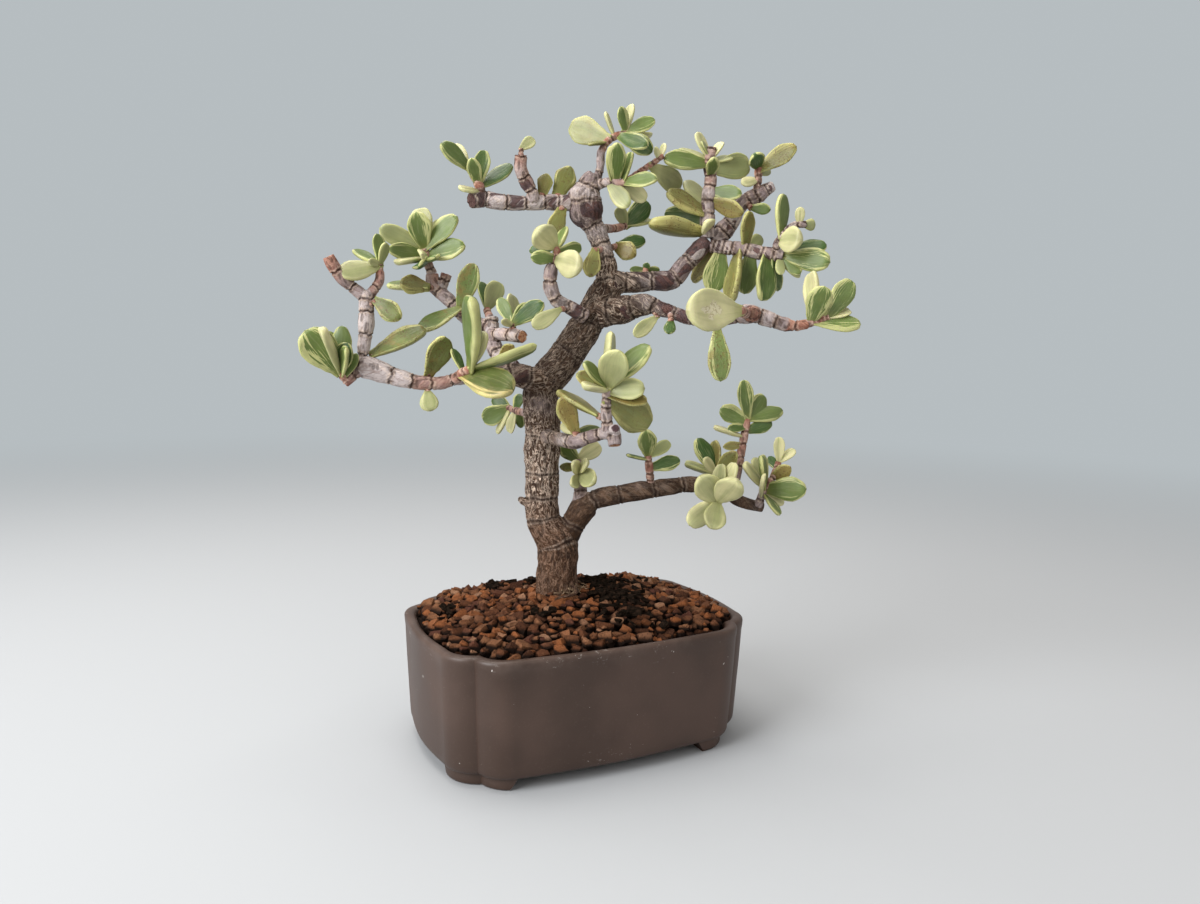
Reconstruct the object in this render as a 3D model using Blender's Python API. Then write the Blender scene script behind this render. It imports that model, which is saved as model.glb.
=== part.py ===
"""A small variegated jade plant (Crassula ovata) trained as a tree, in an unglazed clay pot.

Metres, +Z up. X runs along the pot's long side and -Y is the pot's front. The origin is the middle
of the whole plant's footprint box, on the surface that the pot stands on.

The pot has two drain holes, each under a mesh screen, and holds the soil. The trunk is rooted in
the soil. Stems meet at the forks, and each leafy shoot grows from a stem. Neighbouring pieces keep
a gap of 0.3 mm.
"""
import math

import bmesh
import bpy
from mathutils import Matrix, Vector, noise

MM = 0.001
GAP = 0.3 * MM

# Pot. Its plan is a rectangle whose sides end in round lobes that curl into a groove at each corner.
POT_LENGTH = 155 * MM
POT_WIDTH = 112 * MM
POT_HEIGHT = 60 * MM
LOBE_RADIUS = 15.5 * MM
LOBE_SHIFT = 10.5 * MM
LOBE_POINTS = 6
SIDE_BOW = 2.8 * MM
DRAFT = math.radians(2.6)
WALL = 5 * MM
FLOOR_THICKNESS = 5 * MM
FOOT_HEIGHT = 5.5 * MM
FOOT_REACH_LEFT = 9.5 * MM
FOOT_REACH_RIGHT = 15.2 * MM
FOOT_REACH_BACK = 15.2 * MM
FOOT_SPREAD = 4 * MM
FOOT_DEPTH = 15 * MM
FOOT_INSET = 2.2 * MM
DRAIN_RADIUS = 6 * MM
DRAIN_SPREAD = 34 * MM
SCREEN_SIZE = 22 * MM
SCREEN_THICKNESS = 0.6 * MM

# Soil: the height of the gravel's surface at the wall, then (share of the wall's outline, height) up
# the heap. It lies higher at the back than at the front, dips at the back right, and is lumpy.
SOIL_EDGE = 60.3 * MM
SOIL_HEAP = [(0.93, 62.2 * MM), (0.86, 63.8 * MM), (0.74, 65.5 * MM), (0.62, 67 * MM), (0.46, 68.6 * MM),
             (0.3, 70 * MM), (0.15, 71 * MM), (0.04, 71.5 * MM)]
SOIL_LEAN = 1.2 * MM
SOIL_DIP = 2 * MM
SOIL_DIP_PLACE = Vector((30 * MM, 32 * MM))
SOIL_DIP_WIDTH = 22 * MM
SOIL_LUMP = 2 * MM
SOIL_LUMPS_PER_METRE = 52

# The tree stands left of and behind the pot's middle, and is turned to look past its near left corner.
TREE_FOOT = Vector((-7.2 * MM, 5.1 * MM, 0))
TREE_TURN = math.radians(-25.9)

# Leaves.
LEAF_SIDES = 6
LEAF_RINGS = 4
SMALL_LEAF = 6
LEAF_THICKNESS = 0.24
LEAF_TAPER = [(0.0, 0.3), (0.147, 0.62), (0.5, 0.98), (0.853, 1.12), (1.0, 1.0)]
LEAF_ROOT = 1.2

# Stems, in the tree's own frame: points (right, back, up, radius) in millimetres from the trunk's
# foot, one path for each run of wood. The first path of a stem is its main run.
STEMS = {
    "trunk": [
        [(0, 0, 50, 12), (0, 0, 66, 11.2), (0, 0, 79, 10.2), (0, 0, 94, 10), (-7, 0, 106, 8.5),
         (-8, 0, 121, 8.3), (-8, 0, 139, 8.5), (-8, 0, 156, 9), (-9, 0, 167, 8.8), (-6, 1, 175, 8.8),
         (1, 2, 184, 8.6), (9, 2, 196, 8.1), (15, 2, 206, 8.1), (20, 2, 215, 8), (23, 2, 221, 7)],
        [(-4, -3, 56, 7), (-17, -9, 47, 4), (-28, -14, 34, 1.5)],
        [(5, -4, 56, 7), (16, -14, 46, 4), (26, -22, 32, 1.5)],
        [(5, 3, 56, 7), (19, 8, 47, 4), (33, 12, 36, 1.5)],
        [(-3, 5, 56, 7), (-9, 17, 46, 4), (-16, 26, 32, 1.5)],
    ],
    "crown_leader": [
        [(23, 2, 218, 6.4), (22, 3, 229, 5.1), (20, 4, 238, 4.7), (16, 5, 248, 5), (12, 5, 256, 8.2),
         (11, 5, 263, 8.4), (13, 5, 269, 5.6), (15, 5, 274, 3.4)],
        [(16, 5, 270, 2.2), (18, 6, 277, 2), (18, 6, 285, 1.8)],
    ],
    "crown_left_twig": [
        [(4, 4, 260, 3.4), (-8, 2, 260, 3.2), (-17, 0, 259, 3), (-29, -3, 259, 3.4), (-38, -5, 260, 3),
         (-43, -6, 259, 3)],
        [(-13, -1, 260, 2.2), (-14, -2, 264, 2.4), (-17, -3, 269, 3.1), (-19, -5, 274, 2.4),
         (-19, -6, 280, 2.9)],
    ],
    "upper_right_limb": [
        [(25, 2, 223, 5.9), (34, 4, 223, 5), (44, 6, 224, 4.7), (54, 8, 225, 4.7), (60, 9, 232, 4.5),
         (67, 11, 240, 4.2), (71, 12, 244, 3.5)],
    ],
    "knobby_twig": [
        [(75, 13, 244, 3), (79, 15, 249, 5), (83, 17, 254, 4), (88, 20, 263, 3.6), (96, 22, 268, 4.1),
         (104, 25, 273, 2.6)],
    ],
    "lower_right_limb": [
        [(20, -2, 208, 7.3), (31, -6, 210, 6.5), (41, -9, 212, 4.8), (48, -12, 210, 3.3),
         (57, -15, 207, 3.1), (66, -18, 205, 3), (77, -22, 206, 3.2), (86, -25, 208, 3.7),
         (92, -25, 207, 3.2), (102, -25, 204, 3), (108, -25, 203, 2.3), (114, -25, 204, 1.8)],
    ],
    "short_twig": [
        [(12, -6, 206, 3.4), (5, -10, 210, 2.9), (-1, -13, 213, 2.8), (-4, -15, 219, 3.1),
         (-4, -16, 225, 2.8), (-3, -16, 229, 2.3)],
    ],
    "front_twig": [
        [(-6, -7, 149, 3.3), (2, -16, 148, 3.3), (9, -22, 148, 3.5), (16, -28, 151, 3),
         (22, -32, 153, 2.9), (26, -34, 153, 3.6), (27, -36, 148, 2.9)],
        [(24, -33, 152, 2.9), (23, -34, 160, 2.7), (23, -35, 167, 2.7)],
    ],
    "left_branch": [
        [(-7, -2, 173, 6.3), (-14, -6, 176, 6.2), (-24, -10, 179, 5.2), (-36, -14, 177, 3.3),
         (-47, -18, 176, 3), (-54, -20, 174, 2.6), (-63, -21, 174, 2.8), (-73, -22, 176, 3),
         (-82, -22, 179, 4.4), (-90, -22, 181, 4.6), (-93, -22, 181, 3.2)],
        [(-90, -23, 180, 2.2), (-94, -25, 176, 2.1), (-97, -26, 173, 1.8)],
    ],
    "left_riser": [
        [(-90, -22, 184, 2.2), (-89, -22, 191, 3), (-88, -22, 200, 3.7), (-88, -21, 209, 3.5),
         (-88, -21, 214, 3.5)],
        [(-89, -21, 213, 2.8), (-94, -22, 217, 2.8), (-98, -25, 221, 2.8), (-101, -27, 226, 3),
         (-103, -28, 230, 2.5)],
        [(-87, -21, 213, 2.4), (-84, -18, 218, 2.3), (-83, -16, 221, 2.1), (-83, -15, 225, 1.9)],
    ],
    "left_upper_branch": [
        [(-21, -9, 181, 3.8), (-27, -3, 185, 4.4), (-31, 0, 189, 3.9), (-33, 4, 196, 3.7),
         (-34, 7, 205, 3.5)],
        [(-33, 2, 197, 2.7), (-26, -5, 197, 3.1), (-17, -13, 196, 3.1)],
        [(-34, 5, 200, 3.2), (-42, 7, 203, 3.2), (-48, 8, 206, 3.5), (-56, 10, 214, 3.2),
         (-63, 12, 220, 3.5), (-64, 12, 226, 3)],
        [(-60, 12, 217, 2.4), (-57, 13, 226, 2.7)],
    ],
    "low_right_branch": [
        [(3, 2, 96, 6.4), (8, 1, 105, 6.3), (13, 1, 113, 6.6), (19, 1, 117, 4.9), (34, 3, 120, 4.7),
         (48, 5, 122, 4.4), (66, 9, 124, 4), (79, 12, 122, 3.2), (92, 14, 115, 3), (104, 14, 112, 2.5)],
        [(11, 1, 115, 3.9), (11, 4, 123, 3.2)],
    ],
}

# Leafy shoots, in the same frame: runs of (shoot's path, its leaves). A leaf is (place along the
# path, counted in its points, tip's right, back and up, width, turn of its face in degrees). A face
# that isn't turned looks to the front.
SHOOTS = {
    "far_left_leaves": [
        ([(-96, -26, 174, 1.8), (-99, -27, 178, 1.6)],
         [(1, -117, -33, 191, 12, 25), (1, -114, -29, 198, 14, 10), (1, -107, -23, 199, 12, -30),
          (0.6, -107, -15, 198, 5, 0), (0.7, -100, -17, 198, 10, 0), (1, -95, -36, 191, 8, 0),
          (0.5, -91, -26, 190, 6, 0)]),
    ],
    "left_riser_leaf": [
        ([(-86, -22, 209, 1.6), (-83, -23, 211, 1.2)], [(1, -71, -26, 203, 9, 0)]),
    ],
    "left_fork_leaf": [
        ([(-85, -22, 182, 1.6), (-86, -20, 186, 1.4)], [(1, -62, -12, 198, 9, 15)]),
    ],
    "left_arm_leaves": [
        ([(-83, -15, 224, 1.6), (-83, -15, 228, 1.4)],
         [(1, -85, -12, 242, 9, 15), (1, -79, -17, 238, 6, 60), (0.8, -99, -26, 222, 11, 25),
          (0.8, -98, -9, 235, 7, 0), (1, -87, -21, 229, 4, 0)]),
    ],
    "left_rosette": [
        ([(-64, 12, 226, 2.5), (-66, 11, 232, 2.2), (-67, 10, 238, 2)],
         [(2, -86, 3, 246, 12, -20), (2, -70, 20, 260, 14, 0), (2, -69, 2, 254, 12, 0),
          (2, -62, 18, 255, 7, 0), (2, -49, 5, 253, 7, 40), (1.4, -82, 0, 236, 9, 20),
          (1.3, -46, 7, 239, 7, 35), (1.2, -74, -3, 229, 4, 0), (1.4, -65, -6, 234, 7, 40),
          (1.1, -59, -5, 232, 5, 0), (1, -67, -7, 228, 5, 0)]),
    ],
    "left_pair_leaves": [
        ([(-63, 10, 219, 1.5), (-65, 6, 219, 1.2)],
         [(1, -78, 3, 221, 9, 10), (1, -86, 12, 220, 8, 20)]),
    ],
    "upper_left_leaves": [
        ([(-48, 7, 206, 1.8), (-49, 2, 209, 1.6)],
         [(1, -67, -6, 197, 9, 0), (0.8, -42, 3, 231, 11, 10)]),
    ],
    "grey_stub_leaves": [
        ([(-35, 9, 205, 2), (-37, 13, 209, 1.8)],
         [(1, -32, 18, 223, 10, 10), (1, -41, 22, 223, 6, 0)]),
    ],
    "big_front_leaves": [
        ([(-47, -21, 176, 2.6), (-43, -25, 179, 2.3), (-39, -28, 181, 1.8)],
         [(2, -33, -46, 213, 10, -15), (1.8, -32, -30, 198, 7, 10), (1, -48, -22, 196, 3, 0),
          (2, -8, -34, 189, 7, -40), (0.7, -18, -42, 172, 13, 15)]),
    ],
    "stub_rosette": [
        ([(-22, -8, 198, 1.7), (-22, -8, 202, 1.4)],
         [(1, -29, -3, 214, 7, 0), (1, -25, 4, 215, 6, 0), (1, -15, -7, 212, 7, 20),
          (1, -7, -13, 212, 7, 30), (0.7, -27, -14, 204, 4, 0)]),
    ],
    "pale_twig_leaf": [
        ([(4, -12, 210, 1.4), (1, -15, 209, 1.2)], [(1, -12, -17, 200, 8, 20)]),
    ],
    "crotch_leaf": [
        ([(-28, -5, 186, 1.7), (-27, -9, 187, 1.4)], [(1, -21, -13, 192, 7, 10)]),
    ],
    "back_left_leaves": [
        ([(-12, 6, 158, 2), (-22, 24, 158, 1.8), (-28, 34, 159, 1.6)],
         [(2, -42, 38, 152, 11, 0), (2, -37, 40, 164, 8, 0), (1.3, -22, 34, 166, 6, 0),
          (1.8, -34, 36, 145, 5, 0), (1.3, -27, 30, 146, 5, 0), (1, -21, 30, 149, 5, 0)]),
    ],
    "hanging_left_leaf": [
        ([(-60, -21, 173, 1.6), (-60, -22, 170, 1.4)], [(1, -58, -25, 161, 9, 0)]),
    ],
    "branch_top_leaf": [
        ([(-60, -20, 175, 1.6), (-60, -20, 178, 1.4)], [(1, -52, -23, 196, 12, 30)]),
    ],
    "crown_left_leaves": [
        ([(-38, -5, 261, 2.4), (-38, -6, 265, 2.2), (-41, -7, 270, 1.7), (-43, -7, 273, 1.4)],
         [(3, -55, -14, 283, 10, 30), (3, -52, 2, 284, 9, 0), (1.2, -41, -14, 277, 7, 10),
          (1.2, -36, -4, 282, 6, 50), (1, -24, 4, 276, 9, -25), (0.6, -47, -14, 262, 4, 0)]),
    ],
    "crown_stub_leaf": [
        ([(-19, -5, 279, 1.4), (-19, -5, 283, 1.2)], [(1, -13, -3, 288, 6, 0)]),
    ],
    "crown_olive_leaf_left": [
        ([(-10, 2, 260, 1.5), (-9, 1, 264, 1.5)], [(0.9, -7, 1, 273, 8, 0)]),
    ],
    "crown_olive_leaf_right": [
        ([(-2, 3, 260, 1.5), (-2, 3, 264, 1.5)], [(0.9, 4, 3, 277, 11, 0)]),
    ],
    "under_knob_leaf": [
        ([(0, 2, 260, 1.5), (0, 1, 256, 1.5)], [(0.9, -4, -3, 244, 9, 0)]),
    ],
    "short_twig_leaves": [
        ([(-3, -16, 228, 1.9), (-1, -18, 234, 1.6), (-2, -19, 237, 1.4)],
         [(2, -10, -30, 244, 13, 0), (2, -14, -16, 235, 6, 0), (0.7, -13, -21, 232, 7, 0),
          (0.6, 11, -31, 227, 13, 5), (1.2, 10, -11, 238, 7, 20), (1.4, 3, -5, 246, 6, 0)]),
    ],
    "leader_left_leaf": [
        ([(19, 0, 238, 1.5), (16, -5, 237, 1.4)], [(0.9, 14, -8, 224, 9, 0)]),
    ],
    "crown_top_leaves": [
        ([(18, 6, 284, 1.8), (21, 6, 289, 1.7), (25, 7, 292, 1.7), (30, 8, 294, 1.5)],
         [(1.2, 4, 17, 298, 14, 0), (1, 12, 0, 286, 5, 60), (1.9, 19, 8, 303, 4, 20),
          (3, 27, 3, 305, 6, 20), (3, 33, 13, 308, 5, 0), (3, 44, 8, 300, 6, 30),
          (2.2, 40, -6, 285, 9, -20), (2.6, 43, 8, 285, 10, 0), (2.5, 42, 22, 296, 6, 0)]),
    ],
    "crown_right_leaves": [
        ([(17, 4, 269, 2.5), (24, 1, 270, 2), (29, -1, 269, 1.7), (37, 4, 275, 1.5), (48, 6, 283, 1.2)],
         [(1, 22, -6, 285, 7, 15), (1.3, 26, -14, 285, 9, -10), (2, 33, -3, 283, 5, 0),
          (2, 45, -11, 269, 8, -25), (0.7, 32, -5, 257, 6, 50), (1.8, 40, 4, 262, 8, 0),
          (3.4, 58, 25, 271, 12, 0), (3.9, 49, 8, 289, 3, 0), (3.8, 44, 4, 287, 3, 0)]),
    ],
    "mid_back_leaves": [
        ([(19, 8, 249, 2.2), (25, 17, 250, 2), (31, 22, 252, 1.8)],
         [(2, 42, 28, 264, 11, 0), (2, 27, 20, 261, 7, 0), (2, 44, 32, 256, 5, 0)]),
    ],
    "leader_right_leaves": [
        ([(22, 6, 239, 1.7), (27, 12, 241, 1.5)], [(0.9, 41, 17, 245, 6, 30), (0.9, 36, 6, 236, 10, 0)]),
    ],
    "limb_top_leaves": [
        ([(40, 8, 225, 1.7), (41, 9, 230, 1.5)],
         [(0.9, 33, 6, 229, 4, 20), (0.9, 48, 12, 230, 4, 20), (0.9, 42, 8, 233, 4, 0)]),
    ],
    "upper_right_shoot": [
        ([(71, 13, 246, 3), (71, 13, 254, 3), (71, 13, 264, 3), (72, 14, 274, 2.5), (71, 14, 281, 2.5),
          (72, 14, 289, 2.3)],
         [(4, 48, 8, 281, 9, -20), (4.3, 56, 20, 288, 5, 0), (4.3, 64, 16, 296, 5, 0),
          (4.4, 66, 11, 291, 3, 0), (3.2, 72, 2, 282, 7, 0), (4.2, 78, 16, 292, 4, 0),
          (4.1, 83, 18, 285, 4, 0), (3.6, 91, 26, 283, 13, 0), (2.4, 87, 8, 266, 8, 0),
          (2, 88, 6, 257, 9, 20), (0.4, 68, -3, 252, 9, 0), (0.2, 42, 1, 249, 8, 45),
          (1.3, 49, 6, 265, 10, 0), (1.6, 61, 26, 274, 9, 0), (1, 51, 22, 258, 11, 0)]),
    ],
    "knobby_leaves": [
        ([(96, 22, 268, 2.3), (96, 20, 274, 2), (96, 19, 281, 1.8)],
         [(2, 92, 10, 286, 9, 0), (1.8, 114, 16, 290, 6, 40), (1.2, 87, 15, 272, 6, 20),
          (1.6, 102, 28, 282, 7, 0)]),
    ],
    "knobby_low_leaf": [
        ([(90, 19, 264, 1.8), (93, 17, 261, 1.5)], [(0.9, 102, 14, 260, 6, 0)]),
    ],
    "right_outer_shoot": [
        ([(73, 12, 242, 3), (80, 10, 241, 3), (89, 8, 240, 3), (99, 6, 238, 3), (107, 4, 237, 2.5)],
         [(0.7, 75, 16, 218, 13, 0), (0.5, 69, 20, 224, 7, 0), (1.7, 81, -2, 215, 9, 15),
          (2.3, 91, 14, 220, 11, 0), (3, 98, -6, 214, 10, 20), (3.4, 106, 8, 221, 6, 0),
          (3.8, 105, -1, 227, 5, 0), (3.6, 117, 14, 228, 6, 20), (2, 88, 3, 258, 7, 0),
          (2.2, 97, 14, 247, 7, 0), (4, 129, 5, 242, 8, 0), (3.9, 115, 0, 228, 7, 0),
          (4, 129, -6, 232, 13, 0)]),
        ([(103, 5, 239, 2), (105, 2, 245, 2), (111, 3, 251, 1.7), (117, 4, 252, 1.5)],
         [(1, 104, 6, 266, 7, 0), (0.8, 113, -10, 243, 13, 0), (2.5, 114, 3, 260, 5, 0),
          (2.9, 122, 6, 252, 6, 0)]),
    ],
    "lower_right_leaves": [
        ([(113, -25, 204, 1.8), (117, -25, 205, 1.8), (123, -25, 207, 1.6)],
         [(1, 121, -33, 220, 12, 0), (1.2, 130, -19, 218, 7, 0), (1.8, 138, -20, 224, 12, 0),
          (1.6, 140, -27, 205, 7, 20), (1.9, 136, -20, 212, 5, 0), (1, 118, -15, 229, 6, 0)]),
    ],
    "big_round_leaf": [
        ([(86, -27, 208, 2.6), (81, -36, 209, 2.2)], [(0.9, 55, -50, 208, 19, 0)]),
    ],
    "hanging_speckled_leaf": [
        ([(73, -21, 205, 1.9), (73, -22, 201, 1.6)], [(0.9, 75, -26, 177, 11, 0)]),
    ],
    "limb_under_leaf": [
        ([(45, -11, 210, 1.7), (46, -13, 206, 1.4)], [(0.9, 35, -18, 197, 7, 0)]),
    ],
    "limb_small_leaf": [
        ([(52, -15, 208, 1.4), (52, -19, 204, 1.4)], [(0.9, 51, -21, 198, 6, 0)]),
    ],
    "front_rosette": [
        ([(23, -35, 166, 2.2), (23, -36, 170, 2.2), (23, -37, 174, 1.8)],
         [(2, 28, -46, 191, 14, 0), (2, 22, -34, 199, 6, 10), (2, 42, -33, 193, 7, 20),
          (2, 12, -45, 185, 7, 20), (2, 9, -37, 180, 8, 0), (1.6, 13, -52, 175, 6, 35),
          (1.6, 40, -40, 174, 10, -10), (1.2, 41, -38, 167, 5, 30), (0.9, 42, -24, 157, 17, 0),
          (1.8, 18, -33, 181, 4, 0)]),
    ],
    "front_twig_leaves": [
        ([(9, -23, 148, 1.8), (9, -24, 153, 1.8)],
         [(0.9, 2, -26, 169, 10, 0), (0.8, 2, -16, 155, 5, 0), (0.8, 20, -14, 153, 5, 0)]),
        ([(23, -33, 159, 1.6), (19, -31, 161, 1.4)], [(1, 0, -18, 171, 9, 30)]),
    ],
    "low_stub_leaves": [
        ([(11, 4, 122, 2.9), (10, 8, 128, 2.2), (9, 11, 135, 1.7)],
         [(2, 1, 15, 142, 9, 0), (2, 20, 18, 142, 9, 0), (1.5, 0, 10, 131, 4, 0), (1, 7, -2, 135, 5, 0),
          (1.1, 19, 4, 129, 9, 20), (1.2, 14, -5, 134, 5, 0)]),
    ],
    "small_shoot": [
        ([(46, 5, 123, 2), (45, 3, 132, 2), (44, 2, 139, 1.7)],
         [(2, 42, -5, 153, 10, 0), (1.9, 55, 6, 145, 4, 30), (1.1, 60, 8, 136, 5, 40),
          (1.7, 33, 0, 139, 4, 30)]),
    ],
    "low_right_twig": [
        ([(88, 14, 117, 2.5), (91, 18, 131, 2.3), (94, 22, 146, 2), (96, 24, 156, 1.5)],
         [(3, 93, 27, 176, 9, 0), (3, 105, 32, 168, 10, 0), (3, 115, 30, 160, 5, 30),
          (2.9, 82, 27, 161, 10, 10), (2.6, 85, 20, 150, 6, 40), (2.4, 109, 28, 154, 6, 30),
          (2.1, 78, 20, 152, 5, 20), (1.8, 83, 19, 142, 5, 20)]),
        ([(89, 15, 122, 2), (80, 17, 128, 1.8)],
         [(1, 70, 26, 145, 9, 0), (1, 81, 28, 144, 6, 0), (1, 72, 12, 137, 6, 30),
          (1, 89, 10, 141, 6, 30), (1, 63, 14, 133, 5, 20)]),
    ],
    "low_right_end_leaves": [
        ([(101, 13, 113, 2.3), (104, 11, 122, 2), (108, 12, 128, 1.8), (111, 15, 135, 1.5)],
         [(1, 91, 6, 135, 5, 0), (1.2, 98, 16, 137, 6, 0), (1, 100, 3, 140, 6, 0),
          (0.5, 99, -3, 131, 4, 0), (3, 111, 17, 148, 6, 0), (3, 120, 18, 141, 4, 0),
          (2.6, 107, 20, 137, 5, 0), (2, 116, 8, 134, 8, 0), (1, 123, 1, 124, 13, 0),
          (0.8, 110, 5, 109, 5, 0), (0.9, 114, 12, 114, 5, 0)]),
    ],
    "low_round_leaves": [
        ([(80, 11, 122, 2.2), (79, 0, 120, 2.2), (78, -6, 118, 1.9)],
         [(2, 68, -13, 132, 14, 0), (2, 88, -20, 131, 14, 0), (1.6, 64, -5, 106, 11, 0),
          (2, 74, -15, 106, 12, 0)]),
    ],
}

CLAY = (0.115, 0.078, 0.066)
GRAVEL = (0.20, 0.10, 0.055)
SCREEN_GREEN = (0.03, 0.06, 0.04)
BARK = (0.18, 0.12, 0.09)
LEAF = (0.38, 0.44, 0.17)


def material(name, colour, roughness):
    """A plain Principled material."""
    made = bpy.data.materials.new(name)
    made.use_nodes = True
    shader = made.node_tree.nodes["Principled BSDF"]
    shader.inputs["Base Color"].default_value = (*colour, 1)
    shader.inputs["Roughness"].default_value = roughness
    shader.inputs["Metallic"].default_value = 0
    return made


def place(name, mesh, collection, parent, look=None):
    """An object of a mesh, in a collection and under an empty."""
    made = bpy.data.objects.new(name, mesh)
    collection.objects.link(made)
    made.parent = parent
    if look:
        mesh.materials.clear()
        mesh.materials.append(look)
    return made


def as_cutter(made):
    """Marks an object as a guide, which only shapes others."""
    made.hide_render = True
    made.display_type = "WIRE"
    return made


def boolean(made, other, operation, solver="EXACT"):
    """Joins or cuts an object with another."""
    modifier = made.modifiers.new(operation.lower() + "_" + other.name, "BOOLEAN")
    modifier.operation = operation
    modifier.solver = solver
    modifier.object = other


def mesh_from(mesh_builder, name):
    """A closed mesh with its faces pointing out."""
    if mesh_builder.calc_volume(signed=True) < 0:
        bmesh.ops.reverse_faces(mesh_builder, faces=mesh_builder.faces[:])
    mesh = bpy.data.meshes.new(name)
    mesh_builder.to_mesh(mesh)
    mesh_builder.free()
    return mesh


# Pot and soil


def lobe_arc(radius, shift, reach):
    """A lobe's plan from the corner's groove out to a reach along the side, as seen from the corner."""
    diagonal = (2 * radius + shift) / math.sqrt(2) - math.sqrt(radius ** 2 - shift ** 2 / 2)
    groove = Vector((diagonal, diagonal)) / math.sqrt(2)
    middle = radius + shift
    centre = Vector((middle, radius))
    start = math.atan2(groove.y - centre.y, groove.x - centre.x) % (2 * math.pi)
    end = 1.5 * math.pi - math.asin(max(0, middle - reach) / radius)
    angles = [start + (end - start) * step / (LOBE_POINTS - 1) for step in range(LOBE_POINTS)]
    arc = [centre + radius * Vector((math.cos(angle), math.sin(angle))) for angle in angles]
    return arc + [Vector((reach, 0))] if reach > middle else arc


def pot_outline(length, width, radius=LOBE_RADIUS, shift=LOBE_SHIFT):
    """The pot's plan at one height, anticlockwise.

    Each corner has two lobes, circles that touch the sides, which meet at a groove on the corner's
    diagonal. The sides between the lobes are bowed out a little.
    """
    lobe = lobe_arc(radius, shift, radius + shift)
    corner = [Vector((point.y, point.x)) for point in reversed(lobe[1:])] + lobe
    half = Vector((length / 2, width / 2))
    near_left = [point - half for point in corner]
    near_right = [Vector((-point.x, point.y)) for point in reversed(near_left)]
    front, right = [], []
    for share in (0.25, 0.5, 0.75):
        bow = SIDE_BOW * math.sin(math.pi * share)
        front.append(Vector((near_left[-1].x * (1 - 2 * share), -half.y - bow)))
        right.append(Vector((half.x + bow, near_right[-1].y * (1 - 2 * share))))
    part = near_left + front + near_right + right
    return part + [Vector((-point.x, -point.y)) for point in part]


def loft(rings):
    """A closed body through rings of as many points, given from one end to the other."""
    builder = bmesh.new()
    loops = [[builder.verts.new(point) for point in ring] for ring in rings]
    for lower, upper in zip(loops, loops[1:]):
        for index in range(len(lower)):
            following = (index + 1) % len(lower)
            builder.faces.new((lower[index], lower[following], upper[following], upper[index]))
    builder.faces.new(reversed(loops[0]))
    builder.faces.new(loops[-1])
    return builder


def pot_ring(height, inset):
    """The outline of the drafted wall at a height, moved in by an inset."""
    narrowing = 2 * (math.tan(DRAFT) * (POT_HEIGHT - height) + inset)
    radius = LOBE_RADIUS - 0.35 * inset
    outline = pot_outline(POT_LENGTH - narrowing, POT_WIDTH - narrowing, radius)
    return [Vector((point.x, point.y, height)) for point in outline]


def corner_foot(side_x, side_y):
    """A foot that wraps one corner's groove, with slanted inner ends, reaching up into the floor."""
    rings = []
    narrowing = 2 * (math.tan(DRAFT) * (POT_HEIGHT - FOOT_HEIGHT) + FOOT_INSET)
    half = Vector((POT_LENGTH - narrowing, POT_WIDTH - narrowing)) / 2
    groove = lobe_arc(LOBE_RADIUS, LOBE_SHIFT, LOBE_RADIUS)[0].x
    for height, spread in ((0, 0), (FOOT_HEIGHT + 1 * MM, FOOT_SPREAD)):
        along = groove + spread + (FOOT_REACH_LEFT if side_x < 0 else FOOT_REACH_RIGHT)
        back = groove + spread + FOOT_REACH_BACK
        end_wall = [Vector((point.y, point.x)) for point in lobe_arc(LOBE_RADIUS, LOBE_SHIFT, back)]
        corner = end_wall[:0:-1] + lobe_arc(LOBE_RADIUS, LOBE_SHIFT, along)
        corner += [Vector((along, FOOT_DEPTH)), Vector((FOOT_DEPTH, FOOT_DEPTH)), Vector((FOOT_DEPTH, back))]
        plan = [point - half for point in corner]
        rings.append([Vector((-side_x * point.x, -side_y * point.y, height)) for point in plan])
    return loft(rings)


def make_pot(parts, cutters, parent):
    """The pot: drafted wall with a rounded lip, floor with two drain holes, and four corner feet."""
    floor_top = FOOT_HEIGHT + FLOOR_THICKNESS
    rings = [pot_ring(FOOT_HEIGHT, 4 * MM), pot_ring(FOOT_HEIGHT + 1.5 * MM, 1.2 * MM),
             pot_ring(FOOT_HEIGHT + 4.5 * MM, 0), pot_ring(POT_HEIGHT - 2 * MM, 0),
             pot_ring(POT_HEIGHT - 0.5 * MM, 0.6 * MM), pot_ring(POT_HEIGHT, 2 * MM),
             pot_ring(POT_HEIGHT - 0.5 * MM, 4 * MM), pot_ring(POT_HEIGHT - 2.5 * MM, WALL),
             pot_ring(floor_top + 3 * MM, WALL), pot_ring(floor_top, WALL + 3 * MM)]
    pot = place("pot", mesh_from(loft(rings), "pot"), parts, parent, material("clay", CLAY, 0.6))
    for side_x in (-1, 1):
        for side_y in (-1, 1):
            name = "foot_guide_%s%s" % ("l" if side_x < 0 else "r", "f" if side_y < 0 else "b")
            foot = place(name, mesh_from(corner_foot(side_x, side_y), name), cutters, parent)
            boolean(pot, as_cutter(foot), "UNION")
    for side in (-1, 1):
        builder = bmesh.new()
        bmesh.ops.create_cone(builder, cap_ends=True, segments=20, radius1=DRAIN_RADIUS,
                              radius2=DRAIN_RADIUS, depth=30 * MM)
        drill = place("drill", mesh_from(builder, "drill"), cutters, parent)
        drill.location = (side * DRAIN_SPREAD, 0, floor_top)
        boolean(pot, as_cutter(drill), "DIFFERENCE")
    return pot


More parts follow.
